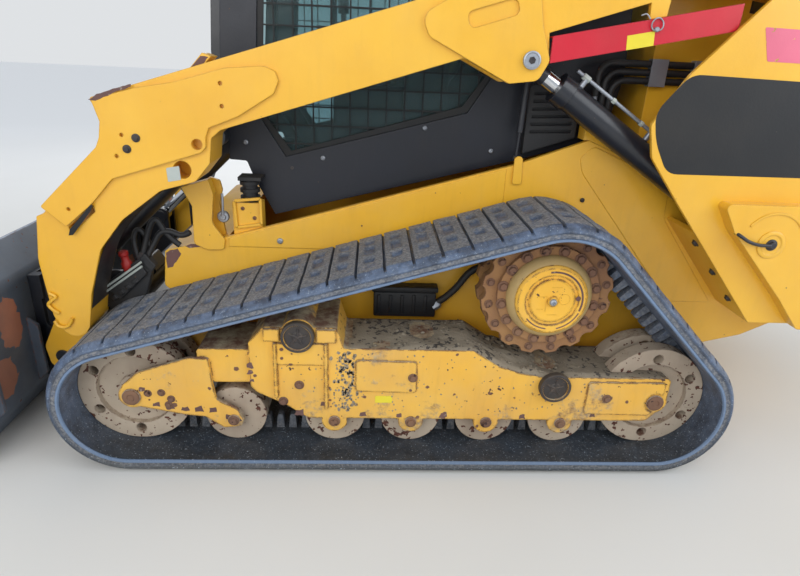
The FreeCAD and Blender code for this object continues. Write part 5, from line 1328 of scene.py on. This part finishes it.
# The front door's handle, seal and wiper
bm = bmesh.new()
bar(bm, mm("668 -330 1240, 700 -333 1246, 706 -334 1262, 705 -334 1330, 700 -333 1346, 664 -330 1352"), 0.0075)
block(bm, (0.650, -0.352, 1.222), (0.669, -0.310, 1.262), 0.003)
block(bm, (0.648, -0.352, 1.334), (0.667, -0.310, 1.370), 0.003)
turned(bm, (0.669, -0.331, 1.205), (1, 0, 0), mm("11 -10, 11 4, 4 4, 3 1, 0 1"), 20)
piece(bm, "door_handle", "black_plastic", "cab_door")
bm = bmesh.new()
turned(bm, (0.640, 0.0, 1.006), (1, 0, 0.05), mm("22 -4, 22 12, 12 20, 8 28, 0 30"), 24)
bar(bm, mm("662 0 1008, 664 30 1100, 662 80 1260, 650 120 1420"), 0.0042)
bar(bm, mm("655.5 60 1200, 648 105 1360, 639 147.5 1515, 630 172 1610"), 0.0050)
piece(bm, "door_wiper", "black_rubber", "cab_door")

# The hood's two grips and its rear latch, the rear door's paddle latch and the bumper's bolts
bm = bmesh.new()
for side in (-1, 1):
    bar(bm, sided(mm("-1330 360 1536, -1330 360 1548, -1345 360 1552, -1445 360 1552, -1460 360 1548,"
            "-1460 360 1536"), side), 0.006)
    for x in (-1.33, -1.46):
        turned(bm, (x, side * 0.36, 1.537), (0, 0, 1), mm("14 0, 14 3, 10 5, 0 5"), 18)
piece(bm, "hood_grips", "black_paint", "hood")
bm = bmesh.new()
block(bm, (-1.9665, -0.470, 1.020), (-1.962, -0.425, 1.130), 0.002)
block(bm, (-1.9715, -0.460, 1.055), (-1.965, -0.435, 1.118), 0.003)
turned(bm, (-1.9665, -0.4475, 1.036), (-1, 0, 0), mm("8 0, 8 3, 3 3, 2 1, 0 1"), 18)
piece(bm, "rear_door_latch", "black_plastic", "rear_door")
bm = bmesh.new()
for side in (-1, 1):
    for y, z in mm("460 671, 360 671, 520 695"):
        bolt(bm, (-1.965, side * y, z), (-1, 0, 0), 0.011, y)
    for z in (0.80, 1.10, 1.30):
        dome_bolt(bm, (-1.964, side * 0.485, z), (-1, 0, 0), 0.007)
piece(bm, "bumper_bolts", "dark_cap")
print("other sides fitted")

# %% [markdown]
# The seat is soft, so its cushion and back are puffed up as cloth round their foam, and then sewn across.
# %%
# Seat
PUFF_CAP = 0.022
PUFF_FRAMES = 20
VOXEL = 0.006
SEAT_FORMS = (("seat_cushion", mm("-80 1200, 308 1200, 308 1268, -20 1262, -95 1285"), 0.218, (0.07, 0.16)),
        ("seat_back", mm("-128 1300, -48 1300, -92 1778, -168 1778"), 0.218, (0.08, 0.15)))


def baked(made):
    """Turns the piece's modifiers into its own mesh."""
    made.data = bpy.data.meshes.new_from_object(made.evaluated_get(bpy.context.evaluated_depsgraph_get()))
    made.modifiers.clear()


def foam(name, line, half):
    """The closed form under the cover, in even small faces."""
    bm = bmesh.new()
    slab(bm, rounded(line, 0.026, 5), -half, half, 0.014)
    bmesh.ops.holes_fill(bm, edges=bm.edges[:])
    bmesh.ops.recalc_face_normals(bm, faces=bm.faces[:])
    mesh = bpy.data.meshes.new(name + "_foam")
    bm.to_mesh(mesh)
    bm.free()
    made = link_new(name, mesh)
    remesh = made.modifiers.new("remesh", "REMESH")
    remesh.mode = "VOXEL"
    remesh.voxel_size = VOXEL
    baked(made)
    return made


def puffed(made, cap):
    """Blows the piece up as cloth, and lets no point move farther than the cap."""
    was = [v.co.copy() for v in made.data.vertices]
    cloth = made.modifiers.new("cloth", "CLOTH")
    cloth.settings.use_pressure = True
    cloth.settings.uniform_pressure_force = 4
    cloth.settings.effector_weights.gravity = 0
    cloth.point_cache.frame_end = PUFF_FRAMES
    for moment in range(1, PUFF_FRAMES + 1):
        scene.frame_set(moment)
    result = made.evaluated_get(bpy.context.evaluated_depsgraph_get())
    now = [v.co.copy() for v in result.data.vertices]
    made.modifiers.remove(cloth)
    scene.frame_set(1)
    for vert, old, new in zip(made.data.vertices, was, now):
        step = new - old
        vert.co = old + step * min(1.0, cap / max(step.length, 0.000001))


def seam(bm, made, place, normal):
    """A sewn line where a plane cuts the cushion's surface."""
    cut = bmesh.new()
    cut.from_mesh(made.data)
    found = bmesh.ops.bisect_plane(cut, geom=cut.verts[:] + cut.edges[:] + cut.faces[:], plane_co=place,
            plane_no=normal)["geom_cut"]
    edges = [g for g in found if isinstance(g, bmesh.types.BMEdge)]
    if edges:
        line = [edges[0].verts[0], edges[0].verts[1]]
        left = set(edges[1:])
        while onward := [e for e in line[-1].link_edges if e in left]:
            left.discard(onward[0])
            line.append(onward[0].other_vert(line[-1]))
        bar(bm, [v.co.copy() for v in line[::2]] + [line[0].co.copy()], 0.0022, 6, smooth=False)
    cut.free()


for name, line, half, channels in SEAT_FORMS:
    made = foam(name, line, half)
    puffed(made, PUFF_CAP)
    made.modifiers.new("finer", "SUBSURF").levels = 1
    baked(made)
    made.data.name = name
    made.data.materials.clear()
    made.data.materials.append(M["seat_cover"])
    smooth(made.data)
    if name == "seat_cushion":
        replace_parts(made, "seat")
    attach(made, "chassis")
    bm = bmesh.new()
    for y in channels:
        for sign in (-1, 1):
            seam(bm, made, (0, y * sign, 0), (0, 1, 0))
    piece(bm, name + "_seams", "black_rubber")
    print(name, len(made.data.vertices), "points, measures", [round(v, 3) for v in made.dimensions])
